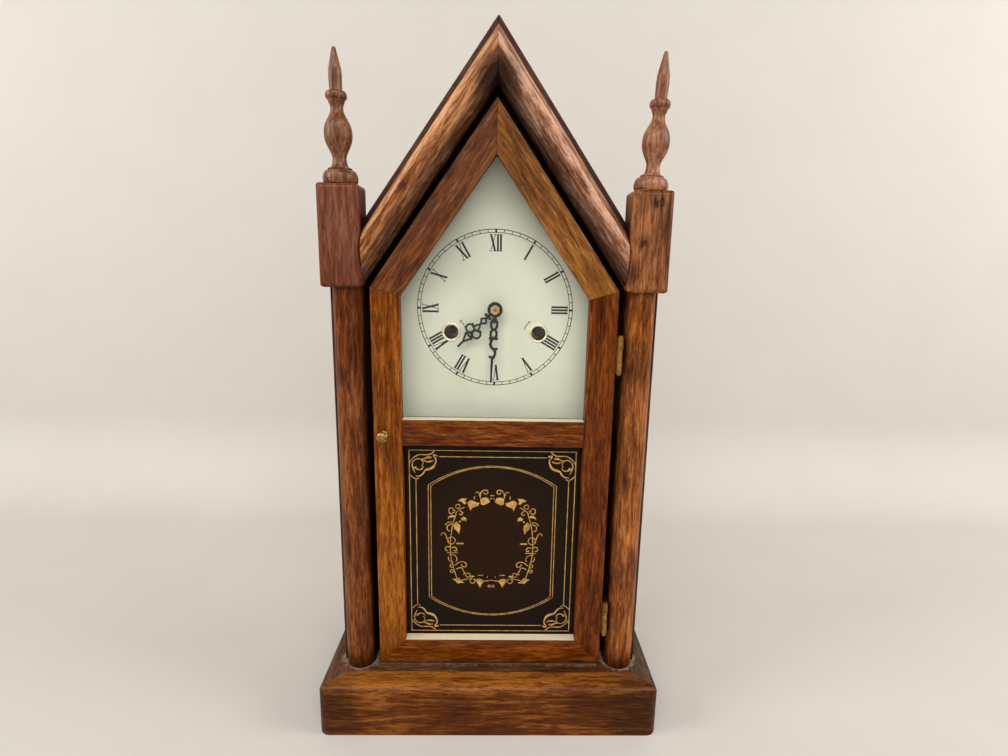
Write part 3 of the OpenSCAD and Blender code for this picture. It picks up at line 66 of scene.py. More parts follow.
class Paint:
    """One node material, and short ways to add nodes to it."""

    def __init__(self, name):
        self.material = bpy.data.materials.new(name)
        self.material.use_nodes = True
        self.tree = self.material.node_tree
        self.shader = self.tree.nodes["Principled BSDF"]

    def node(self, kind, **settings):
        made = self.tree.nodes.new("ShaderNode" + kind)
        for key, value in settings.items():
            setattr(made, key, value)
        return made

    def join(self, value, socket):
        if isinstance(value, bpy.types.NodeSocket):
            self.tree.links.new(value, socket)
        else:
            socket.default_value = value

    def set(self, **values):
        for key, value in values.items():
            self.join(value, self.shader.inputs[key.replace("_", " ")])

    def place(self, turn=(0, 0, 0), stretch=(1, 1, 1), shift=(0, 0, 0)):
        """The surface's own place in millimetres, turned, stretched and shifted."""
        turned = self.node("Mapping")
        self.join(self.node("TexCoord").outputs["Object"], turned.inputs["Vector"])
        turned.inputs["Rotation"].default_value = turn
        turned.inputs["Scale"].default_value = (TO_MM, TO_MM, TO_MM)
        moved = self.node("Mapping")
        self.join(turned.outputs["Vector"], moved.inputs["Vector"])
        moved.inputs["Scale"].default_value = stretch
        moved.inputs["Location"].default_value = shift
        return moved.outputs["Vector"]

    def noise(self, where, size, detail=2.0, roughness=0.5, distortion=0.0):
        """Noise from 0 to 1 whose spots are about size millimetres across."""
        made = self.node("TexNoise")
        self.join(where, made.inputs["Vector"])
        made.inputs["Scale"].default_value = 1 / size
        made.inputs["Detail"].default_value = detail
        made.inputs["Roughness"].default_value = roughness
        made.inputs["Distortion"].default_value = distortion
        return made.outputs["Fac"]

    def calc(self, operation, first, second, clamp=False):
        made = self.node("Math", operation=operation, use_clamp=clamp)
        self.join(first, made.inputs[0])
        self.join(second, made.inputs[1])
        return made.outputs[0]

    def plus(self, first, second):
        return self.calc("ADD", first, second)

    def times(self, first, second):
        return self.calc("MULTIPLY", first, second)

    def spread(self, value, low, high, to_low=0.0, to_high=1.0):
        """Takes the range low to high onto another range, smoothly and without passing its ends."""
        made = self.node("MapRange", interpolation_type="SMOOTHSTEP")
        self.join(value, made.inputs["Value"])
        ends = {"From Min": low, "From Max": high, "To Min": to_low, "To Max": to_high}
        for name, number in ends.items():
            made.inputs[name].default_value = number
        return made.outputs["Result"]

    def ramp(self, value, stops):
        made = self.node("ValToRGB")
        self.join(value, made.inputs["Fac"])
        points = made.color_ramp.elements
        while len(points) < len(stops):
            points.new(0.5)
        for point, (at, colour) in zip(points, stops):
            point.position = at
            point.color = colour
        return made.outputs["Color"]

    def mix(self, share, first, second):
        made = self.node("Mix", data_type="RGBA", blend_type="MIX")
        self.join(share, made.inputs[0])
        self.join(first, made.inputs[6])
        self.join(second, made.inputs[7])
        return made.outputs[2]

    def bump(self, height, strength, distance):
        """Bump from a height, distance millimetres deep."""
        made = self.node("Bump")
        made.inputs["Strength"].default_value = strength
        made.inputs["Distance"].default_value = distance * MM
        self.join(height, made.inputs["Height"])
        self.join(made.outputs["Normal"], self.shader.inputs["Normal"])

    def hollow(self, reach):
        """1 deep in corners and 0 in the open, looking reach millimetres around."""
        made = self.node("AmbientOcclusion", samples=6)
        made.inputs["Distance"].default_value = reach * MM
        return self.calc("SUBTRACT", 1.0, made.outputs["AO"], clamp=True)

    def upward(self):
        """1 on level faces that look up, and 0 on upright ones."""
        split = self.node("SeparateXYZ")
        self.join(self.node("NewGeometry").outputs["Normal"], split.inputs[0])
        return self.spread(split.outputs["Z"], 0.75, 0.97)

    def past(self, point, direction, start, end):
        """0 up to start millimetres from a point along a direction, rising to 1 at end."""
        offset = self.node("VectorMath", operation="SUBTRACT")
        self.join(self.place(), offset.inputs[0])
        offset.inputs[1].default_value = point
        along = self.node("VectorMath", operation="DOT_PRODUCT")
        self.join(offset.outputs["Vector"], along.inputs[0])
        along.inputs[1].default_value = direction
        return self.spread(along.outputs["Value"], start, end)

    def near(self, point, reach):
        """1 at a point in the frame, fading to 0 at reach millimetres from it."""
        made = self.node("VectorMath", operation="DISTANCE")
        self.join(self.place(), made.inputs[0])
        made.inputs[1].default_value = point
        return self.spread(made.outputs["Value"], 0.0, reach, 1.0, 0.0)


# Woods

# Turns that lay the upright grain along a piece
UPRIGHT = (0, 0, 0)
ACROSS = (0, math.radians(90), 0)
BACKWARD = (math.radians(90), 0, 0)
RIGHT_SLOPE = (0, math.radians(90) - ROOF_PITCH, 0)
LEFT_SLOPE = (0, ROOF_PITCH - math.radians(90), 0)

# Marks in the wood: width in millimetres, squeeze along the grain, detail, roughness and distortion
FIGURE = (6, 0.09, 4, 0.6, 1.4)
STREAK = (2, 0.13, 5, 0.7, 0.3)
CLOUD = (36, 0.4, 3, 0.5, 0.6)
PORES = (0.9, 0.14, 2, 0.6, 0.0)
RAGGED = (5, 0.3, 5, 0.75, 1.5)
BARE_STREAK = (2.2, 0.03, 4, 0.6, 0.0)

# How much of the tone comes from each mark
FIGURE_SHARE = 0.34
STREAK_SHARE = 0.44
CLOUD_SHARE = 0.22

# How far in millimetres painted shade darkens a corner, and how far dust gathers in one
CORNER_REACH = 14
DUST_REACH = 8

DUST = srgb(188, 178, 150)


def grained(paint, grain, mark, shift=0):
    """Noise of marks that run along the grain, at a place of their own for each shift."""
    width, squeeze, detail, roughness, distortion = mark
    where = paint.place(grain, (1, 1, squeeze), (37.0 * shift, 91.0 * shift, 53.0 * shift))
    return paint.noise(where, width, detail, roughness, distortion)


def wood_tone(paint, grain, shift, streak, painted_top_light, painted_ridge_highlight, lifts):
    """Light and dark of the wood: its figure, its paler places, and painted light, which makes faces
    that look up paler and lays a highlight along a ridge.
    """
    tone = paint.plus(
        paint.times(grained(paint, grain, FIGURE, shift), FIGURE_SHARE),
        paint.times(streak, STREAK_SHARE),
    )
    tone = paint.plus(tone, paint.times(grained(paint, grain, CLOUD, shift), CLOUD_SHARE))
    # Painted light: faces that look up are made paler, as light from above falls on them
    tone = paint.plus(tone, paint.times(paint.upward(), painted_top_light))
    # Painted highlight: a paler band along a ridge, between two distances along a direction
    if painted_ridge_highlight:
        point, direction, low, high, amount = painted_ridge_highlight
        fade_in, fade_out = 2, 3
        past_low = paint.past(point, direction, low - fade_in, low)
        past_high = paint.past(point, direction, high, high + fade_out)
        ridge = paint.calc("SUBTRACT", past_low, past_high)
        tone = paint.plus(tone, paint.times(ridge, amount))
    for point, reach, amount in lifts:
        tone = paint.plus(tone, paint.times(paint.near(point, reach), amount))
    return tone


def darkened(paint, colour, shade, ragged, knots, stains, shaded_side):
    """Knots and soaked stains over a colour, with painted shade on one side and in the corners."""
    for point, reach, amount in knots:
        spot = paint.times(paint.near(point, reach), paint.spread(ragged, 0.0, 1.0, 0.25, 1.5))
        colour = paint.mix(paint.spread(spot, 0.2, 0.8, 0.0, amount), colour, shade)
    for point, reach, amount in stains:
        soaked = paint.times(paint.near(point, reach), paint.spread(ragged, 0.0, 1.0, 0.75, 1.15))
        colour = paint.mix(paint.spread(soaked, 0.0, 0.8, 0.0, amount), colour, shade)
    if shaded_side:
        # Painted shade: one side of a piece darkens, from where it starts to where it is full
        painted_side_shade = paint.times(paint.past(*shaded_side), paint.spread(ragged, 0.0, 1.0, 0.75, 0.95))
        colour = paint.mix(painted_side_shade, colour, shade)
    # Painted shade: corners and recesses darken towards the darkest colour, as shade falls there
    return paint.mix(paint.spread(paint.hollow(CORNER_REACH), 0.3, 0.92, 0.0, 0.88), colour, shade)


def dust_and_highlight_share(paint, heaps, dust, film):
    """Share of dust on faces that look up: a film, more in corners, and most round the heaps. On the
    door's ledges the same share is a painted highlight.
    """
    speck = paint.spread(paint.noise(paint.place(), 5, 4, 0.75), 0.35, 0.65)
    heaped = paint.plus(paint.hollow(DUST_REACH), paint.spread(speck, 0.0, 1.0, -0.15, 0.15))
    heaped = paint.spread(heaped, 0.4, 0.68, film, dust)
    for point, reach in heaps:
        heap = paint.plus(paint.near(point, reach), paint.spread(speck, 0.0, 1.0, -0.12, 0.04))
        heaped = paint.calc("MAXIMUM", heaped, paint.spread(heap, 0.05, 0.5, 0.0, 0.62))
    return paint.times(paint.upward(), heaped)


def wood(
    name, grain, dark, middle, light, shift, knots=(), stains=(), lifts=(), shaded_side=None,
    painted_top_light=0.0, painted_ridge_highlight=None, heaps=(), dust=0.2, film=0.0, dust_and_highlight_colour=DUST,
    shine=0.18, shine_blur=0.16,
):
    """Lacquered wood: figure, streaks, short dark pores, stains and dust, with painted light: paler
    tops, highlights along a ridge and on ledges, and shade on one side and in the corners.
    """
    paint = Paint(name)
    streak = grained(paint, grain, STREAK, shift)
    pore = paint.spread(grained(paint, grain, PORES, shift), 0.52, 0.66)
    ragged = paint.spread(grained(paint, grain, RAGGED, shift), 0.3, 0.7)
    # The darkest colour: for knots, stains and pores, and for painted shade
    shade = tuple(0.3 * channel for channel in dark[:3]) + (1,)
    tone = wood_tone(paint, grain, shift, streak, painted_top_light, painted_ridge_highlight, lifts)
    colour = paint.ramp(tone, [(0.4, dark), (0.5, middle), (0.6, light)])
    colour = paint.mix(paint.times(pore, 0.5), colour, shade)
    colour = darkened(paint, colour, shade, ragged, knots, stains, shaded_side)
    # Dust on faces that look up, and on the door's ledges a painted highlight in its place
    dust_and_highlight = dust_and_highlight_share(paint, heaps, dust, film)
    colour = paint.mix(dust_and_highlight, colour, dust_and_highlight_colour)
    rough = paint.plus(0.36, paint.times(paint.noise(paint.place(), 12, 3), 0.16))
    rough = paint.plus(rough, paint.times(dust_and_highlight, 0.4))
    paint.set(
        Base_Color=colour, Roughness=rough, Specular_IOR_Level=0.04,
        Coat_Weight=shine, Coat_Roughness=shine_blur,
    )
    relief = paint.calc("SUBTRACT", paint.times(streak, 0.5), pore)
    paint.bump(relief, 0.3, 0.1)
    return paint.material


def bare_wood(name, grain, dark, light):
    """Unfinished pine or ply, matt, with soft streaks."""
    paint = Paint(name)
    streak = grained(paint, grain, BARE_STREAK)
    cloud = paint.noise(paint.place(), 40, 2)
    tone = paint.plus(paint.times(streak, 0.6), paint.times(cloud, 0.4))
    paint.set(Base_Color=paint.ramp(tone, [(0.35, dark), (0.65, light)]), Roughness=0.8)
    paint.bump(streak, 0.3, 0.15)
    return paint.material


# Metals, paints and glass

def brass(name, bright, dull, worn=0.5, spot=2.6, grime=0.7, metal=0.92):
    """Brass with dull spots, spot millimetres across, that cover more of it the more it is worn."""
    paint = Paint(name)
    spots_seen = paint.noise(paint.place(), spot, 4, 0.65, 0.5)
    stain = paint.spread(spots_seen, 0.5 - 0.2 * worn, 0.72 - 0.2 * worn)
    colour = paint.mix(stain, bright, dull)
    colour = paint.mix(paint.times(paint.hollow(2), grime), colour, srgb(48, 34, 18))
    scratch = paint.noise(paint.place((0.3, 0.5, 0.2), (1, 1, 0.05)), 0.5, 2)
    paint.set(Base_Color=colour, Metallic=metal, Roughness=paint.spread(stain, 0.0, 1.0, 0.26, 0.5))
    paint.bump(scratch, 0.15, 0.05)
    return paint.material


def steel():
    """Plain grey steel, cloudy and lightly brushed."""
    paint = Paint("grey_steel")
    stain = paint.noise(paint.place(), 4, 4, 0.6)
    brushed = paint.noise(paint.place((0, 0, 0), (1, 0.04, 1)), 0.6, 2)
    paint.set(
        Base_Color=paint.mix(stain, srgb(150, 150, 152), srgb(92, 90, 88)), Metallic=0.9,
        Roughness=paint.spread(stain, 0.3, 0.7, 0.3, 0.46),
    )
    paint.bump(brushed, 0.12, 0.04)
    return paint.material


def black_paint():
    """Satin black of the hands, with rubbed places that show grey."""
    paint = Paint("black_hands")
    rubbed = paint.spread(paint.noise(paint.place(), 1.8, 4, 0.7), 0.6, 0.8)
    colour = paint.mix(rubbed, srgb(8, 8, 8), srgb(26, 24, 22))
    paint.set(Base_Color=colour, Roughness=0.4, Specular_IOR_Level=0.3)
    paint.bump(paint.noise(paint.place(), 0.7, 2), 0.2, 0.05)
    return paint.material


def dark_steel():
    """Oiled steel of the key squares, nearly black, which is also painted shade for the dark inside the
    winding holes.
    """
    paint = Paint("oiled_steel_and_shade")
    oil = paint.noise(paint.place(), 2.0, 4, 0.7)
    colour = paint.mix(oil, srgb(14, 12, 12), srgb(46, 42, 40))
    paint.set(Base_Color=colour, Metallic=0.6, Roughness=0.35)
    return paint.material


def dial_paint():
    """Pale green-grey enamel paint, cloudy, with a few brown flecks."""
    paint = Paint("dial_paint")
    cloud = paint.noise(paint.place(), 46, 3, 0.5)
    colour = paint.mix(paint.spread(cloud, 0.3, 0.7), srgb(221, 225, 204), srgb(212, 217, 195))
    fleck = paint.spread(paint.noise(paint.place(), 1.4, 3, 0.7), 0.74, 0.82)
    colour = paint.mix(paint.times(fleck, 0.35), colour, srgb(150, 140, 110))
    paint.set(Base_Color=colour, Roughness=0.38, Coat_Weight=0.15, Coat_Roughness=0.2)
    paint.bump(paint.noise(paint.place(), 3, 3), 0.05, 0.05)
    return paint.material


def printed_black():
    """Black ink of the dial, thin in places."""
    paint = Paint("printed_black")
    worn = paint.spread(paint.noise(paint.place(), 0.8, 3, 0.7), 0.62, 0.8)
    paint.set(Base_Color=paint.mix(worn, srgb(9, 9, 9), srgb(28, 27, 25)), Roughness=0.5)
    return paint.material


def clear_glass():
    """Window glass, thin enough to look straight through, with faint dust."""
    paint = Paint("clear_glass")
    dusty = paint.spread(paint.noise(paint.place(), 6, 4, 0.7), 0.45, 0.8, 0.012, 0.03)
    paint.set(Base_Color=srgb(226, 232, 228), Roughness=0.06, Alpha=dusty)
    return paint.material


def painted_glass():
    """Glass painted on its back, nearly black at the border; its dark brown middle is partly the glass's
    brown tint and partly painted shade for the dim case seen through it.
    """
    low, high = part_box("tablet_glass")
    middle = tuple(TO_MM * value for value in (low + high) / 2)
    brown_reach = 92
    paint = Paint("painted_glass")
    inner = paint.near(middle, brown_reach)
    haze = paint.noise(paint.place(), 24, 3, 0.6)
    tone = paint.plus(paint.times(inner, 0.75), paint.times(haze, 0.25))
    browns = [(0.15, srgb(18, 11, 6)), (0.45, srgb(30, 15, 4)), (0.9, srgb(38, 18, 3))]
    colour = paint.ramp(tone, browns)
    paint.set(Base_Color=colour, Roughness=0.08, Specular_IOR_Level=0.1)
    return paint.material


def gold_paint():
    """Gold bronze paint under the glass, thin in places."""
    paint = Paint("gold_paint")
    thin = paint.spread(paint.noise(paint.place(), 5, 3, 0.6), 0.35, 0.7)
    colour = paint.mix(thin, srgb(208, 164, 88), srgb(158, 118, 56))
    paint.set(Base_Color=colour, Metallic=0.2, Roughness=0.42, Specular_IOR_Level=0.2)
    return paint.material


def putty():
    """Old grey glazing putty, rough and cloudy."""
    paint = Paint("old_putty")
    cloud = paint.noise(paint.place(), 4, 4, 0.7)
    paint.set(Base_Color=paint.mix(cloud, srgb(150, 140, 120), srgb(108, 98, 80)), Roughness=0.85)
    paint.bump(cloud, 0.4, 0.3)
    return paint.material


def coat(names, material):
    """Gives one material to every slot of the nodes."""
    for name in names:
        slots = nodes[name].data.materials
        slots.clear()
        slots.append(material)


def soften(name, width):
    """Rounds the sharp edges of a node by width millimetres, as sanding and lacquer do."""
    weld = nodes[name].modifiers.new("weld", "WELD")
    weld.merge_threshold = 0.002 * MM
    flat = nodes[name].modifiers.new("flat", "DECIMATE")
    flat.decimate_type = "DISSOLVE"
    flat.angle_limit = math.radians(1)
    bevel = nodes[name].modifiers.new("bevel", "BEVEL")
    bevel.width = width * MM
    bevel.segments = 3
    bevel.limit_method = "ANGLE"
    bevel.angle_limit = math.radians(38)
    bevel.harden_normals = False
    normals = nodes[name].modifiers.new("normals", "WEIGHTED_NORMAL")
    normals.keep_sharp = False


# Dark, middle and light colour of nodes that come in pairs
SIDE_BROWNS = (srgb(48, 24, 14), srgb(78, 42, 26), srgb(108, 66, 44))
ROOF_BROWNS = (srgb(44, 24, 16), srgb(72, 42, 30), srgb(100, 64, 48))
BASE_SIDE_BROWNS = (srgb(36, 19, 10), srgb(60, 36, 21), srgb(94, 62, 38))

# Grain and the dark, middle and light colour of each wooden node
WOODS = {
    "left_capital_block": (UPRIGHT, srgb(72, 34, 16), srgb(104, 56, 34), srgb(132, 80, 54)),
    "right_capital_block": (UPRIGHT, srgb(66, 32, 12), srgb(126, 74, 38), srgb(172, 112, 60)),
    "left_finial": (UPRIGHT, srgb(82, 46, 24), srgb(132, 86, 56), srgb(172, 122, 84)),
    "right_finial": (UPRIGHT, srgb(82, 44, 24), srgb(132, 82, 56), srgb(172, 120, 86)),
    "left_post": (UPRIGHT, srgb(50, 18, 4), srgb(98, 46, 12), srgb(144, 84, 34)),
    "right_post": (UPRIGHT, srgb(64, 27, 6), srgb(126, 67, 22), srgb(180, 112, 52)),
    "left_side_board": (UPRIGHT, *SIDE_BROWNS),
    "right_side_board": (UPRIGHT, *SIDE_BROWNS),
    "left_roof_board": (LEFT_SLOPE, *ROOF_BROWNS),
    "right_roof_board": (RIGHT_SLOPE, *ROOF_BROWNS),
    # The right moulding's pale pink light colour is partly a painted highlight, the colour its painted
    # ridge highlight reaches
    "left_gable_moulding": (LEFT_SLOPE, srgb(68, 31, 12), srgb(140, 84, 44), srgb(206, 150, 100)),
    "right_gable_moulding": (RIGHT_SLOPE, srgb(66, 34, 18), srgb(128, 80, 50), srgb(202, 158, 132)),
    # Painted shade: the gable frame rails are near black, for the shade in the gap behind the mouldings
    "gable_frame_rails": (UPRIGHT, srgb(12, 7, 5), srgb(18, 11, 8), srgb(26, 16, 11)),
    "base_front_rail": (ACROSS, srgb(62, 26, 3), srgb(90, 43, 6), srgb(140, 84, 28)),
    "base_left_rail": (BACKWARD, *BASE_SIDE_BROWNS),
    "base_right_rail": (BACKWARD, *BASE_SIDE_BROWNS),
    "base_floor_board": (ACROSS, srgb(46, 24, 12), srgb(76, 44, 24), srgb(110, 70, 40)),
    "door_left_stile": (UPRIGHT, srgb(80, 36, 2), srgb(122, 62, 8), srgb(162, 96, 26)),
    "door_right_stile": (UPRIGHT, srgb(54, 18, 2), srgb(96, 42, 5), srgb(138, 72, 18)),
    "door_bottom_rail": (ACROSS, srgb(62, 24, 2), srgb(100, 46, 6), srgb(140, 76, 20)),
    "door_middle_rail": (ACROSS, srgb(54, 20, 2), srgb(98, 44, 7), srgb(144, 82, 26)),
    "door_left_gable_rail": (LEFT_SLOPE, srgb(58, 26, 8), srgb(94, 50, 22), srgb(132, 78, 38)),
    "door_right_gable_rail": (RIGHT_SLOPE, srgb(76, 40, 8), srgb(126, 76, 28), srgb(168, 112, 48)),
}

# How much in millimetres the sharp edges of a node are rounded
SOFT_EDGES = {
    "left_side_board": 0.8, "right_side_board": 0.8, "left_roof_board": 0.8, "right_roof_board": 0.8,
    "left_gable_moulding": 0.7, "right_gable_moulding": 0.7, "gable_frame_rails": 0.5,
    "door_left_stile": 0.45, "door_right_stile": 0.45,
    "door_bottom_rail": 0.45, "door_middle_rail": 0.45,
    "door_left_gable_rail": 0.45, "door_right_gable_rail": 0.45,
    "dial_battens": 0.5, "base_floor_board": 0.4,
}


def spots(name, places):
    """Places measured in millimetres from the left, front and foot of a node's box, put in the frame."""
    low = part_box(name)[0]
    left, front, foot_z = TO_MM * low.x, TO_MM * low.y, TO_MM * low.z
    return [((left + x, front + y, foot_z + z), *rest) for x, y, z, *rest in places]


def foot(name):
    """Middle of a node's underside, in millimetres."""
    low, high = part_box(name)
    return (TO_MM * (low.x + high.x) / 2, TO_MM * (low.y + high.y) / 2, TO_MM * low.z)


def marks_of_use():
    """Knots, stains, paler places, gloss, dust, and painted light and shade of single nodes, as keywords
    for wood().

    A knot, a stain and a lift, which is a paler place, have a place, a reach in millimetres and a
    strength. A heap of dust has a place and a reach. A shaded side, which is painted shade, has a point,
    a direction, and where along it the shade starts and is full. A painted ridge highlight has a point,
    a direction, where along it the highlight starts and ends, and a strength.
    """
    block_low, block_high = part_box("right_capital_block")
    block_h = TO_MM * (block_high.z - block_low.z)
    base_low, base_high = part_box("base_front_rail")
    base_w = TO_MM * (base_high.x - base_low.x)
    base_h = TO_MM * base_high.z
    base_edge = (0, TO_MM * base_low.y, base_h)
    back_and_down = (0, math.sqrt(0.5), -math.sqrt(0.5))
    apex = TO_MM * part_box("right_roof_board")[1].z
    ridge = (0, 0, apex)
    inward_left = (math.sin(ROOF_PITCH), 0, -math.cos(ROOF_PITCH))
    inward_right = (-math.sin(ROOF_PITCH), 0, -math.cos(ROOF_PITCH))
    moulding_front = TO_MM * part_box("left_gable_moulding")[0].y
    # Painted shade at the inner apex of the mouldings, by the dark gap over the door
    painted_apex_shade = [((0, moulding_front, apex - 42), 24, 0.9)]
    left_foot = foot("left_post")
    right_foot = foot("right_post")
    heaps = [(left_foot, 22), (right_foot, 22)]
    # Painted highlight: the door rails' ledges are covered nearly evenly in pale cream, given through
    # the dust settings
    painted_ledge_highlight = {"film": 0.85, "dust": 0.97, "dust_and_highlight_colour": srgb(226, 214, 182)}
    turned = {"shine": 0.45, "shine_blur": 0.3}
    return {
        "left_finial": turned,
        "right_finial": turned,
        "left_capital_block": {
            "stains": spots("left_capital_block", [(26, 0, 10, 30, 0.35)]),
            "shine": 0.25,
        },
        "right_capital_block": {
            "knots": spots("right_capital_block", [
                (17, 0, block_h - 8, 8, 1.0), (8, 0, block_h - 33, 9, 0.95),
            ]),
            "stains": spots("right_capital_block", [(0, 0, 14, 16, 0.6), (14, 0, block_h, 10, 0.4)]),
            "shine": 0.25,
        },
        # Painted shade on each post: its first stain darkens its foot where it meets the base, and its
        # side towards the door is shaded
        "left_post": {
            "stains": spots("left_post", [(11, 0, -6, 30, 0.85), (2, 0, 230, 12, 0.5)]),
            "shaded_side": (left_foot, (1, 0, 0), 4, 13), "shine": 0.3,
        },
        "right_post": {
            "stains": spots("right_post", [(11, 0, -6, 30, 0.85), (11, 0, 240, 26, 0.5)]),
            "shaded_side": (right_foot, (-1, 0, 0), 4, 13), "shine": 0.3,
        },
        "door_left_stile": {
            "stains": spots("door_left_stile", [(14, 0, -4, 40, 0.45)]),
            "lifts": spots("door_left_stile", [(12, 0, 95, 130, 0.03)]),
        },
        "door_bottom_rail": painted_ledge_highlight,
        "door_middle_rail": painted_ledge_highlight,
        "base_front_rail": {
            "stains": spots("base_front_rail", [
                (0, 0, base_h / 2, 50, 0.6), (base_w, 0, base_h / 2, 70, 0.65),
            ]),
            # Painted light on the base's front rail: a paler top, and a highlight along its rounded
            # front edge
            "painted_top_light": 0.07, "painted_ridge_highlight": (base_edge, back_and_down, 2, 2.5, 0.06),
            "shine": 0.15, "shine_blur": 0.25, "dust": 0.3, "heaps": heaps,
        },
        "base_floor_board": {"dust": 0.25, "heaps": heaps},
        # Painted light: the base's side rails have paler tops
        "base_left_rail": {"dust": 0.5, "painted_top_light": 0.05, "shine": 0.1, "heaps": heaps},
        "base_right_rail": {"dust": 0.55, "film": 0.05, "painted_top_light": 0.05, "shine": 0.1, "heaps": heaps},
        # Painted shade on each moulding's inner side, and a painted highlight along its nose
        "left_gable_moulding": {
            "stains": painted_apex_shade, "shine": 0.28,
            "shaded_side": (ridge, inward_left, 13, 22.5),
            "painted_ridge_highlight": (ridge, inward_left, 7, 8, 0.08),
        },
        "right_gable_moulding": {
            "stains": painted_apex_shade, "shine": 0.28,
            "shaded_side": (ridge, inward_right, 14, 22),
            "painted_ridge_highlight": (ridge, inward_right, 9.5, 11, 0.08),
        },
    }


def dress_woods():
    """Lacquered wood for the nodes of WOODS, each with grain of its own, and plain wood for the rest."""
    marks = marks_of_use()
    for count, (name, (grain, dark, middle, light)) in enumerate(WOODS.items()):
        coat([name], wood(name + "_wood", grain, dark, middle, light, count + 1, **marks.get(name, {})))
    coat(["back_board"], bare_wood("bare_wood", UPRIGHT, srgb(120, 86, 56), srgb(168, 130, 90)))
    # Painted shade: the dial battens get dark browns for the shade they stand in behind the dial
    coat(["dial_battens"], bare_wood("shaded_bare_wood", UPRIGHT, srgb(30, 18, 12), srgb(52, 34, 24)))
    for name, width in SOFT_EDGES.items():
        soften(name, width)


def dress_fittings():
    """Brass, steel, paint, glass and putty."""
    hinges = ["hinge_case_leaves", "hinge_door_leaves", "hinge_pins", "door_hinge_screws"]
    works = [
        "front_plate", "back_plate", "time_great_wheel", "strike_great_wheel", "centre_wheel",
        "third_wheel", "escape_wheel", "minute_wheel", "hour_wheel", "strike_pin_wheel", "strike_fly",
        "pendulum_bob",
    ]
    steel_parts = [
        "screws_and_pins", "latch_tongue", "mainsprings", "centre_arbor", "verge", "pendulum_rod",
        "hammer", "gong",
    ]
    coat(hinges, brass("hinge_brass", srgb(180, 138, 68), srgb(126, 92, 40), 0.4, 7))
    coat(["latch_knob"], brass("knob_brass", srgb(180, 144, 82), srgb(112, 86, 44), 0.5))
    coat(["hand_nut"], brass("nut_brass", srgb(232, 200, 140), srgb(186, 142, 78), 0.25))
    # The grommets' near-white cream is polished brass and also a painted reflection of the light they
    # catch
    pale_brass_and_glint = brass("bright_brass_and_glint", srgb(244, 236, 204), srgb(222, 208, 160), 0.1, 9, 0.25, 0.4)
    coat(["dial_grommets"], pale_brass_and_glint)
    coat(works, brass("works_brass", srgb(206, 172, 104), srgb(140, 108, 58), 0.3))
    coat(steel_parts, steel())
    coat(["time_winding_arbor", "strike_winding_arbor"], dark_steel())
    coat(["hour_hand", "minute_hand"], black_paint())
    coat(["dial_plate"], dial_paint())
    coat(["upper_glass"], clear_glass())
    coat(["tablet_glass"], painted_glass())
    coat(["glazing_putty"], putty())


# Flat drawings in X and Z

def outline_of_line(points, widths, closed=False):
    """Left and right edges of a line of varying width through points."""
    count = len(points)
    left, right = [], []
    for index, (x, z) in enumerate(points):
        before = points[(index - 1) % count] if closed or index else points[index]
        after = points[(index + 1) % count] if closed or index < count - 1 else points[index]
        along = Vector((after[0] - before[0], after[1] - before[1]))
        along = along.normalized() if along.length else Vector((1, 0))
        half = widths[index] / 2
        left.append((x - along.y * half, z + along.x * half))
        right.append((x + along.y * half, z - along.x * half))
    return left, right


class Drawing:
    """A flat drawing in millimetres that becomes one thin mesh facing the front."""

    def __init__(self):
        self.faces = []

    def area(self, points):
        self.faces.append(list(points))

    def line(self, points, width, closed=False):
        """A line through points, of one width or with a width for each point."""
        widths = list(width) if hasattr(width, "__len__") else [width] * len(points)
        left, right = outline_of_line(points, widths, closed)
        last = len(points) if closed else len(points) - 1
        for index in range(last):
            after = (index + 1) % len(points)
            self.area([left[index], left[after], right[after], right[index]])

    def disc(self, x, z, radius):
        self.area(circle(x, z, radius, 12))

    def placed(self, move):
        """A new drawing, whose points went through move."""
        made = Drawing()
        made.faces = [[move(x, z) for x, z in face] for face in self.faces]
        return made

    def add(self, other):
        self.faces.extend(other.faces)

    def build(self, name, y, material, body):
        """Makes the mesh at a depth y in metres, riding on a body."""
        mesh = bpy.data.meshes.new(name)
        grown = bmesh.new()
        for face in self.faces:
            corners = [grown.verts.new((x * MM, y, z * MM)) for x, z in face]
            grown.faces.new(corners)
        bmesh.ops.recalc_face_normals(grown, faces=grown.faces)
        for face in grown.faces:
            face.normal_update()
            if face.normal.y > 0:
                face.normal_flip()
        grown.to_mesh(mesh)
        grown.free()
        piece = bpy.data.objects.new(name, mesh)
        bpy.context.scene.collection.objects.link(piece)
        mesh.materials.append(material)
        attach(piece, body)
        return piece


def on_circle(x, z, radius, angles):
    """The points of a circle at angles in radians."""
    return [(x + radius * math.cos(angle), z + radius * math.sin(angle)) for angle in angles]


def circle(x, z, radius, sides):
    """A whole circle, as the corners of an even polygon."""
    return on_circle(x, z, radius, [2 * math.pi * index / sides for index in range(sides)])


def arc(x, z, radius, start, end, count):
    """Points on a circle from one angle to another, in degrees."""
    step = (end - start) / count
    return on_circle(x, z, radius, [math.radians(start + step * index) for index in range(count + 1)])


def curve_through(points, steps=6):
    """A smooth curve through points, with their widths if they have a third value."""
    smooth = []
    for index in range(len(points) - 1):
        p0 = Vector(points[max(index - 1, 0)])
        p1 = Vector(points[index])
        p2 = Vector(points[index + 1])
        p3 = Vector(points[min(index + 2, len(points) - 1)])
        for step in range(steps):
            t = step / steps
            smooth.append(
                0.5 * (2 * p1 + (p2 - p0) * t + (2 * p0 - 5 * p1 + 4 * p2 - p3) * t * t
                       + (3 * p1 - p0 - 3 * p2 + p3) * t ** 3)
            )
    smooth.append(Vector(points[-1]))
    return smooth


# The dial's printing

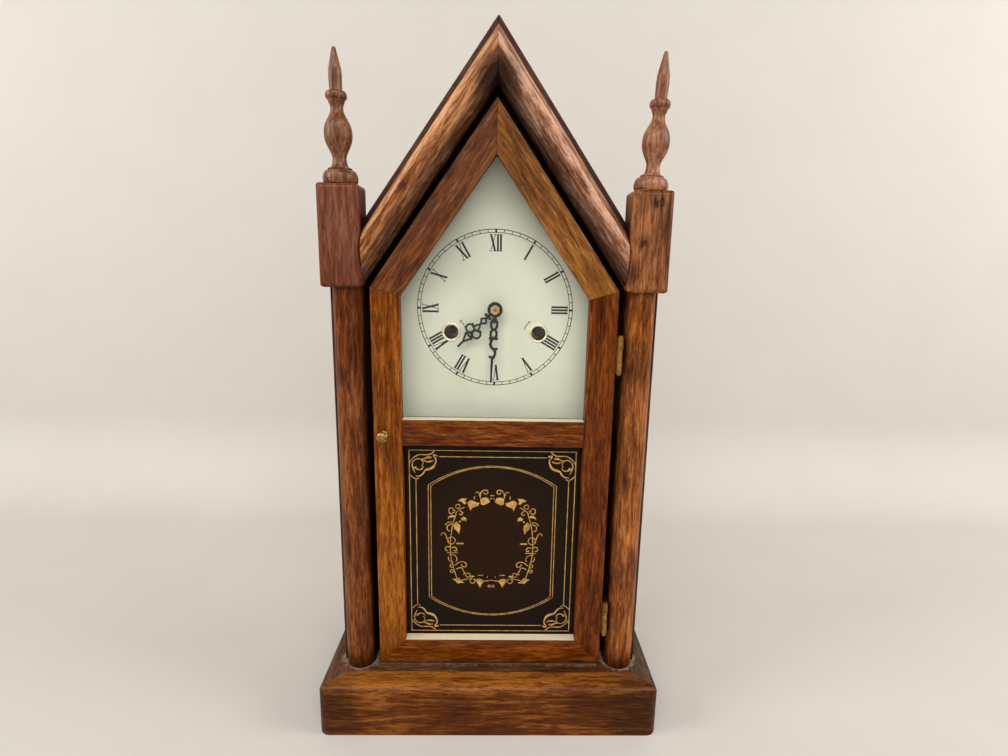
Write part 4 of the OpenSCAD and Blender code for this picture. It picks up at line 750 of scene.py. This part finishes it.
NUT_LOW, NUT_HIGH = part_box("hand_nut")
DIAL_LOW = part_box("dial_plate")[0]
DIAL_CENTRE_Z = TO_MM * (NUT_LOW.z + NUT_HIGH.z) / 2

# Radii of the two rings of the minute track and their widths
TRACK_OUTER = 57.15
TRACK_INNER = 54.85
OUTER_RING = 0.55
INNER_RING = 0.45

# The track's marks: their widths, and how far those at the hours pass the rings
MINUTE_MARK = 0.5
HOUR_MARK = 1.5
HOUR_MARK_PAST = 0.3

# Radii of the numerals' foot and top
NUMERAL_FOOT = 41.6
NUMERAL_TOP = 53.6

# Widths of the thick and thin strokes, and how far in from the letter's sides they end
THICK = 1.55
THIN = 0.5
THICK_IN = 0.9
THIN_IN = 0.8

# How thick the serifs are, and how far they reach on each side of a stroke
SERIF = 0.42
I_SERIF = 1.05
X_SERIF = 1.1
V_THICK_SERIF = 1.2
V_THIN_SERIF = 0.9

I_THICK = 0.92 * THICK
V_FOOT_SHIFT = 0.1
HOURS = ["XII", "I", "II", "III", "IIII", "V", "VI", "VII", "VIII", "IX", "X", "XI"]
LETTER_WIDTH = {"I": 2.15, "V": 4.7, "X": 4.9}

# The arrows beside the winding holes: distance from the hole, angles of tip and tail, and line widths
ARROW_REACH = 10.8
ARROW_TIP = 52
ARROW_TAIL = 14
ARROW_BOW = 0.5
ARROW_BARBS = 0.45


def letter(sign, x):
    """One Roman letter standing on zero, its left side at x."""
    drawn = Drawing()
    height = NUMERAL_TOP - NUMERAL_FOOT
    serif_z = height - SERIF
    right = x + LETTER_WIDTH[sign]
    middle = x + LETTER_WIDTH[sign] / 2
    v_foot = middle + V_FOOT_SHIFT

    def bar(foot_x, top_x, thick):
        half = thick / 2
        foot_edge = [(foot_x - half, 0), (foot_x + half, 0)]
        top_edge = [(top_x + half, height), (top_x - half, height)]
        drawn.area(foot_edge + top_edge)

    def serif(at, low, reach):
        high = low + SERIF
        drawn.area([(at - reach, low), (at + reach, low), (at + reach, high), (at - reach, high)])

    if sign == "I":
        bar(middle, middle, I_THICK)
        serif(middle, 0, I_SERIF)
        serif(middle, serif_z, I_SERIF)
    if sign == "V":
        bar(v_foot, x + THICK_IN, THICK)
        bar(v_foot, right - THIN_IN, THIN)
        serif(x + THICK_IN, serif_z, V_THICK_SERIF)
        serif(right - THIN_IN, serif_z, V_THIN_SERIF)
    if sign == "X":
        bar(right - THICK_IN, x + THICK_IN, THICK)
        bar(x + THIN_IN, right - THIN_IN, THIN)
        for at in (x + THICK_IN, right - THICK_IN):
            serif(at, 0, X_SERIF)
            serif(at, serif_z, X_SERIF)
    return drawn


def numeral(text):
    """A Roman numeral standing on zero, centred on x = 0."""
    drawn = Drawing()
    x = -sum(LETTER_WIDTH[sign] for sign in text) / 2
    for sign in text:
        drawn.add(letter(sign, x))
        x += LETTER_WIDTH[sign]
    return drawn


def on_dial(angle):
    """Takes a point that stands on zero at twelve to the dial at an angle in degrees clockwise."""
    turn = math.radians(angle)

    def move(x, z, foot=NUMERAL_FOOT):
        out = z + foot
        return (x * math.cos(turn) + out * math.sin(turn),
                DIAL_CENTRE_Z - x * math.sin(turn) + out * math.cos(turn))
    return move


def winding_arrow(hole_x, hole_z, side):
    """Small curved arrow beside a winding hole, on its right for side 1 and on its left for -1."""
    drawn = Drawing()
    bow = arc(0, 0, ARROW_REACH, ARROW_TIP, ARROW_TAIL, 8)
    drawn.line(bow, ARROW_BOW)
    tip_x, tip_z = bow[0]
    barbs = [(tip_x - 0.2, tip_z - 1.4), (tip_x, tip_z), (tip_x + 1.2, tip_z + 0.3)]
    drawn.line(barbs, ARROW_BARBS)
    return drawn.placed(lambda x, z: (hole_x + side * x, hole_z + z))


def track_mark(minute):
    """Mark across the minute track, wider and longer at the hours."""
    at_hour = minute % 5 == 0
    half = (HOUR_MARK if at_hour else MINUTE_MARK) / 2
    past_ring = HOUR_MARK_PAST if at_hour else 0
    low = TRACK_INNER - past_ring
    high = TRACK_OUTER + past_ring
    drawn = Drawing()
    drawn.area([(-half, low), (half, low), (half, high), (-half, high)])
    move = on_dial(6 * minute)
    return drawn.placed(lambda x, z: move(x, z, 0))


def print_dial(ink):
    """Minute track, numerals and winding arrows, as one thin piece in front of the dial."""
    drawn = Drawing()
    for radius, width in ((TRACK_OUTER, OUTER_RING), (TRACK_INNER, INNER_RING)):
        drawn.line(arc(0, DIAL_CENTRE_Z, radius, 0, 358, 179), width, closed=True)
    for minute in range(60):
        drawn.add(track_mark(minute))
    for hour, text in enumerate(HOURS):
        drawn.add(numeral(text).placed(on_dial(30 * hour)))
    for side, name in ((1, "strike_winding_arbor"), (-1, "time_winding_arbor")):
        low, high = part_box(name)
        drawn.add(winding_arrow(TO_MM * (low.x + high.x) / 2, TO_MM * (low.z + high.z) / 2, side))
    drawn.build("dial_printing", DIAL_LOW.y - PRINT_LIFT, ink, "case")


# The painted glass's gold lines

TABLET_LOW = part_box("tablet_glass")[0]

# The outer border, and how far in from it the straight inner lines run
BORDER_X = 62.2
BORDER_TOP = 214.6
BORDER_FOOT = 65.2
BORDER_WIDTH = 0.64
INNER_IN = 4.8
INNER_WIDTH = 0.9 * BORDER_WIDTH

# A square corner is cut on the slant, where a line is this much wider
MITRE_WIDENING = 1.41

# Room for the scrolls in the corners
CORNER_W = 22.1
CORNER_H = 24.6

# The two bowed borders round the wreath: half the outer one's breadth, the gap between them, the ends of
# the straight sides, the rise of the bows and the width of the lines
BARREL_X = 48.3
BARREL_GAP = 1.9
BARREL_FOOT = 94.5
BARREL_TOP = 187.3
BARREL_ARCH = 15.5
BARREL_LINE = 0.5

# Height of the wreath's middle, and the width of its vine and rings
WREATH_Z = 141.4
WREATH_VINE = 0.6

# The wreath's right half: millimetres to the right of the tablet's middle and above WREATH_Z.
# A line has its width and its points, and a ring and a dot have their place and radius.
WREATH_LINES = [
    (0.7, [(0, 37.9), (1.4, 37.9)]),
    (0.7, [(0, 37.8), (0, 32.5)]),
    (0.6, [(0, 35.4), (1.1, 35.7), (1.5, 34.9)]),
    (0.8, [(9.1, 36.1), (9.1, 38.4), (8.3, 40.8), (6.4, 42.2), (4.2, 42.2), (3.4, 40.8), (4.2, 39.3),
           (5.8, 39.3), (6.3, 40.5)]),
    (0.6, [(9.7, 37.8), (10.2, 39.9), (11.3, 40.8), (12.4, 40.2)]),
    (0.7, [(13.5, 37.2), (13.5, 34.9)]),
    (0.7, [(28.2, 26.1), (28.7, 24.3), (31.5, 23.1), (32.7, 24.3), (32.8, 26.1), (32, 27.5),
           (30.1, 27.5), (29, 26.1), (30.1, 25.2)]),
    (0.7, [(25.5, 26.1), (22.7, 24.3), (22.5, 23.1), (23.8, 22.2), (24.9, 23.1)]),
    (WREATH_VINE, [(21.1, 28.4), (26.6, 24.9), (27.9, 20.8), (29.3, 16.7), (30.4, 11.4), (31.5, 2.5),
                   (31.6, -8), (30.9, -15.1), (28.7, -23.9), (25.5, -32.2), (20, -31.6), (14.6, -31),
                   (9.1, -32.8), (3.7, -32.8), (0, -32.2)]),
    (0.6, [(35.6, 13.7), (33.7, 15.8), (30.4, 16.4)]),
    (0.7, [(30.4, 14.9), (33.1, 13.7), (34.2, 12), (33.7, 9.6), (32, 9)]),
    (0.7, [(38.6, 5.8), (37.7, 7.2), (36.1, 7), (35, 4.9), (34.2, 2.5), (33.1, 0.2)]),
    (1.2, [(27.1, -1.4), (21.7, -1.4)]),
    (0.7, [(31.5, -5.7), (32.6, -4.2), (34.7, -4.2), (35.6, -5.7), (34.7, -7.5), (33.4, -7.2)]),
    (0.7, [(30.9, -5.1), (28.2, -4.5), (26.8, -6.3), (27.7, -7.8), (29, -6.9)]),
    (0.6, [(34.2, -9.2), (26, -9.2)]),
    (0.6, [(32.6, -10.4), (28.2, -11.6), (26.6, -14.5), (27.4, -16.3)]),
    (0.6, [(33.4, -12.8), (32.6, -15.7), (29.3, -17.5)]),
    (0.7, [(28.2, -19.8), (25.5, -17.5), (22.7, -16.6), (19.7, -18), (20, -21), (22.5, -20.4),
           (23.3, -18.6)]),
    (0.7, [(27.1, -22.8), (23.3, -21.6), (21.7, -24.5), (20.6, -26.3), (21.7, -27.6)]),
    (0.7, [(10.5, -28), (6.4, -28)]),
    (0.6, [(3, -30), (3, -29)]),
]
WREATH_LEAVES = [
    [(9.1, 35.5), (5.8, 36.5), (3.4, 36.1), (1.7, 32.8), (4.2, 31.4), (6.4, 30.2), (8.6, 30.8)],
    [(18.7, 32.5), (16.2, 34.3), (14, 33.4), (12.4, 32.5), (9.7, 32), (10.7, 29.6), (14, 28.4),
     (15.7, 27.5), (16.2, 25.5), (17.3, 27.8), (18.1, 29.6)],
    [(26, 33.7), (23.3, 35.5), (19.2, 35.5), (20.6, 33.1), (19.5, 31.4), (21.4, 30.8), (22.7, 32.5)],
    [(33.7, 18.4), (33.1, 20.8), (30.9, 22), (28.2, 21.4), (28.7, 20.2), (32, 19.9)],
    [(23.8, 19), (21.7, 20.8), (19.7, 19.6), (19.5, 16.7), (21.1, 17.8), (22.7, 17.5)],
    [(27.1, 16.7), (24.4, 13.7), (24.1, 10.8), (25.2, 6.4), (26.6, 9), (28.7, 10.8), (29.3, 14.3)],
    [(30.1, -31.6), (27.7, -33.3), (26, -35.1), (20.6, -34.5), (23.8, -32.8), (24.9, -30.4)],
    [(17.3, -30.4), (15.1, -28.1), (12.9, -29.2)],
    [(12.4, -32.2), (10.2, -31), (6.9, -31.6), (5.8, -33.9), (7.5, -35.7), (8.6, -38.9), (9.7, -36.3)],
]
WREATH_RINGS = [
    (0, 32.5, 0.65), (26, 29, 1.7), (30.9, 1, 2.9), (30.7, -20.1, 1.4), (30.7, -24.6, 1.2),
    (18.2, -27.9, 1.7), (14.6, -33, 1.9), (0, -32.5, 1.5), (1.5, -37.3, 0.9),
]
WREATH_DOTS = [(24.4, 16.7, 0.8), (38.6, 5.8, 0.5), (12.4, 40.2, 0.5)]


def corner_scroll():
    """Scroll in a corner, from points with x to the inside, z down from the corner and a width."""
    drawn = Drawing()
    branch = [(18.9, 0.2, 0.9), (16.9, 2.3, 0.9), (14.7, 3.3, 0.8), (11.4, 3.5, 0.8), (8.1, 3.4, 0.8),
              (5.5, 4.3, 0.75), (3.3, 5.8, 0.7), (1.5, 8.0, 0.65), (0.3, 9.8, 0.6)]
    ring = [(9.0, 12.4, 0.4), (10.1, 11.0, 0.5), (10.1, 9.0, 0.5), (8.5, 7.1, 0.7), (5.9, 6.7, 0.7),
            (3.5, 8.2, 0.7), (2.2, 10.8, 0.8), (2.6, 13.5, 1.1), (3.3, 15.6, 0.8), (4.4, 18.1, 0.3)]
    crescent = [(4.2, 12.9, 1.9), (5.0, 14.2, 1.3), (7.2, 15.2, 0.8), (9.2, 14.6, 0.8),
                (10.7, 12.6, 0.5)]
    upper_bud = [(8.5, 6.9, 0.6), (11.2, 6.5, 0.8), (13.8, 5.5, 1.5), (15.8, 5.5, 1.5)]
    lower_bud = [(8.7, 7.0, 0.5), (10.3, 7.6, 0.6), (12.5, 8.7, 0.8), (14.7, 8.9, 1.1), (17.5, 8.1, 1.2)]
    leaf = [(21.0, 4.4, 0.9), (19.0, 3.6, 1.2), (18.0, 4.1, 0.9), (18.9, 5.5, 0.9), (19.9, 7.2, 1.0),
            (19.6, 9.5, 1.1), (18.1, 12.6, 1.7), (15.9, 14.2, 1.9), (13.0, 15.1, 1.6), (11.6, 15.8, 1.2),
            (10.6, 17.6, 1.1), (8.9, 19.5, 1.0), (6.8, 20.3, 0.9), (4.8, 20.2, 0.6)]
    hook = [(0.2, 19.1, 0.8), (1.5, 20.3, 0.8), (3.3, 21.8, 0.8), (5.2, 22.4, 0.9), (7.2, 21.8, 0.5)]
    stem = [(5.2, 22.2, 1.6), (4.9, 23.4, 1.0), (INNER_IN, CORNER_H, 0.8)]
    for path in (branch, ring, crescent, upper_bud, lower_bud, leaf, hook, stem):
        smooth = curve_through(path)
        drawn.line([(p.x, p.y) for p in smooth], [p.z for p in smooth])
    for x, z, width in (upper_bud[-1], lower_bud[-1]):
        drawn.disc(x, z, width / 2)
    return drawn


def barrel(inset):
    """Border with straight sides and bowed ends, inset millimetres inside the outer one."""
    half = BARREL_X - inset
    rise = BARREL_ARCH - inset * 0.15
    end_inset = inset * 0.3
    radius = (half ** 2 + rise ** 2) / (2 * rise)
    half_angle = math.degrees(math.asin(half / radius))
    top_centre = BARREL_TOP - end_inset + rise - radius
    foot_centre = BARREL_FOOT + end_inset - rise + radius
    top = arc(0, top_centre, radius, 90 - half_angle, 90 + half_angle, 24)
    foot_end = arc(0, foot_centre, radius, 270 - half_angle, 270 + half_angle, 24)
    return top + foot_end


def wreath():
    """Vine of leaves, curls and rings round the tablet's middle, the same on both sides."""
    half = Drawing()
    for width, points in WREATH_LINES:
        smooth = curve_through(points) if len(points) > 2 else points
        half.line([tuple(point) for point in smooth], width)
    for points in WREATH_LEAVES:
        half.area(points)
    for x, z, radius in WREATH_RINGS:
        half.line(circle(x, z, radius, 20), WREATH_VINE, closed=True)
    for x, z, radius in WREATH_DOTS:
        half.disc(x, z, radius)
    whole = Drawing()
    for side in (-1, 1):
        whole.add(half.placed(lambda x, z: (side * x, WREATH_Z + z)))
    return whole


def paint_tablet(gold):
    """Gold borders, corner scrolls and wreath, as one thin piece in front of the painted glass."""
    drawn = Drawing()
    left_side = [(-BORDER_X, BORDER_FOOT), (-BORDER_X, BORDER_TOP)]
    right_side = [(BORDER_X, BORDER_TOP), (BORDER_X, BORDER_FOOT)]
    drawn.line(left_side + right_side, BORDER_WIDTH * MITRE_WIDENING, closed=True)
    for side in (-1, 1):
        x = side * (BORDER_X - INNER_IN)
        drawn.line([(x, BORDER_FOOT + CORNER_H), (x, BORDER_TOP - CORNER_H)], INNER_WIDTH)
        z = BORDER_TOP - INNER_IN if side > 0 else BORDER_FOOT + INNER_IN
        drawn.line([(-BORDER_X + CORNER_W, z), (BORDER_X - CORNER_W, z)], INNER_WIDTH)
        for top in (True, False):
            drawn.add(corner_scroll().placed(
                lambda x, z: (side * (BORDER_X - x), BORDER_TOP - z if top else BORDER_FOOT + z)
            ))
    for inset in (0, BARREL_GAP):
        drawn.line(barrel(inset), BARREL_LINE, closed=True)
    drawn.add(wreath())
    drawn.build("tablet_gold", TABLET_LOW.y - PRINT_LIFT, gold, "door")


# Stage, light and camera

def ground_paint():
    """Pale matt paint of the ground, a little uneven."""
    paint = Paint("pale_ground")
    tone = paint.noise(paint.place(), 90, 2)
    colour = paint.mix(tone, srgb(190, 185, 177), srgb(195, 190, 183))
    paint.set(Base_Color=colour, Roughness=0.75)
    return paint.material


def build_stage():
    """Ground that bends up into a wall behind the clock, in metres."""
    front, back = -2.6, 0.42
    half_w, wall_h = 2.2, 2.2
    bend = 0.12
    bend_steps = 9
    bend_angles = [math.radians(90 * step / bend_steps) for step in range(bend_steps + 1)]
    bent = [(back - bend + bend * math.sin(a), bend - bend * math.cos(a)) for a in bend_angles]
    profile = [(front, 0)] + bent + [(back, wall_h)]
    mesh = bpy.data.meshes.new("ground")
    corners = [(side * half_w, y, z) for y, z in profile for side in (-1, 1)]
    faces = [(2 * i, 2 * i + 1, 2 * i + 3, 2 * i + 2) for i in range(len(profile) - 1)]
    mesh.from_pydata(corners, [], faces)
    mesh.materials.append(ground_paint())
    for face in mesh.polygons:
        face.use_smooth = True
    ground = bpy.data.objects.new("ground", mesh)
    bpy.context.scene.collection.objects.link(ground)


def lamp(name, place, aim, size, power, colour):
    """A flat lamp, size metres wide and high, that looks at a point."""
    data = bpy.data.lights.new(name, "AREA")
    data.shape = "RECTANGLE"
    data.size, data.size_y = size
    data.energy = power
    data.color = colour
    light = bpy.data.objects.new(name, data)
    light.location = place
    light.rotation_euler = (Vector(aim) - Vector(place)).to_track_quat("-Z", "Y").to_euler()
    bpy.context.scene.collection.objects.link(light)


def build_light():
    """Four soft lamps, and an even light from all around."""
    lamp("ceiling", (-0.1, -1.6, 1.9), (0, 0, 0.3), (2.6, 0.8), 36, (1.0, 0.98, 0.95))
    lamp("left_window", (-1.45, -0.45, 1.0), (0, 0, 0.3), (0.7, 0.9), 16, (1.0, 0.98, 0.97))
    lamp("right_window", (1.5, -0.3, 1.0), (0, 0, 0.3), (0.8, 0.9), 19, (1.0, 0.98, 0.97))
    lamp("front", (0.1, -2.3, 0.9), (0, 0, 0.25), (3.0, 1.2), 12, (1.0, 0.98, 0.96))
    world = bpy.data.worlds.new("studio")
    bpy.context.scene.world = world
    world.use_nodes = True
    shade = world.node_tree.nodes["Background"]
    shade.inputs["Color"].default_value = srgb(216, 214, 212)
    shade.inputs["Strength"].default_value = 0.24


# The camera matched to the photograph

# Size, focal length and optical centre in the picture's pixels
IMAGE_W = 1008
IMAGE_H = 756
FOCAL_PX = 563.6
CENTRE_PX = (511.9, 382.1)

CAMERA_AT = (3.8 * MM, -430.3 * MM, 347.9 * MM)
PITCH = math.radians(11.39)
YAW = math.radians(1.32)
ROLL = math.radians(1.16)

# The lens is given for a sensor of this width in millimetres
SENSOR_W = 36


def build_camera():
    """Pinhole camera turned by yaw, then pitch, then roll."""
    data = bpy.data.cameras.new("camera")
    data.sensor_width = SENSOR_W
    data.lens = FOCAL_PX / IMAGE_W * SENSOR_W
    data.shift_x = -(CENTRE_PX[0] - IMAGE_W / 2) / IMAGE_W
    data.shift_y = (CENTRE_PX[1] - IMAGE_H / 2) / IMAGE_W
    camera = bpy.data.objects.new("camera", data)
    stand = Matrix(((1, 0, 0), (0, 0, -1), (0, 1, 0)))
    seen = (Matrix.Rotation(ROLL, 3, "Z") @ Matrix.Rotation(PITCH, 3, "X") @ stand
            @ Matrix.Rotation(YAW, 3, "Z"))
    flip = Matrix(((1, 0, 0), (0, -1, 0), (0, 0, -1)))
    camera.rotation_mode = "QUATERNION"
    camera.rotation_quaternion = (flip @ seen).transposed().to_quaternion()
    camera.location = CAMERA_AT
    bpy.context.scene.collection.objects.link(camera)
    bpy.context.scene.camera = camera


dress_woods()
dress_fittings()
print_dial(printed_black())
paint_tablet(gold_paint())
build_stage()
build_light()
build_camera()

bpy.context.scene.view_settings.view_transform = "Standard"
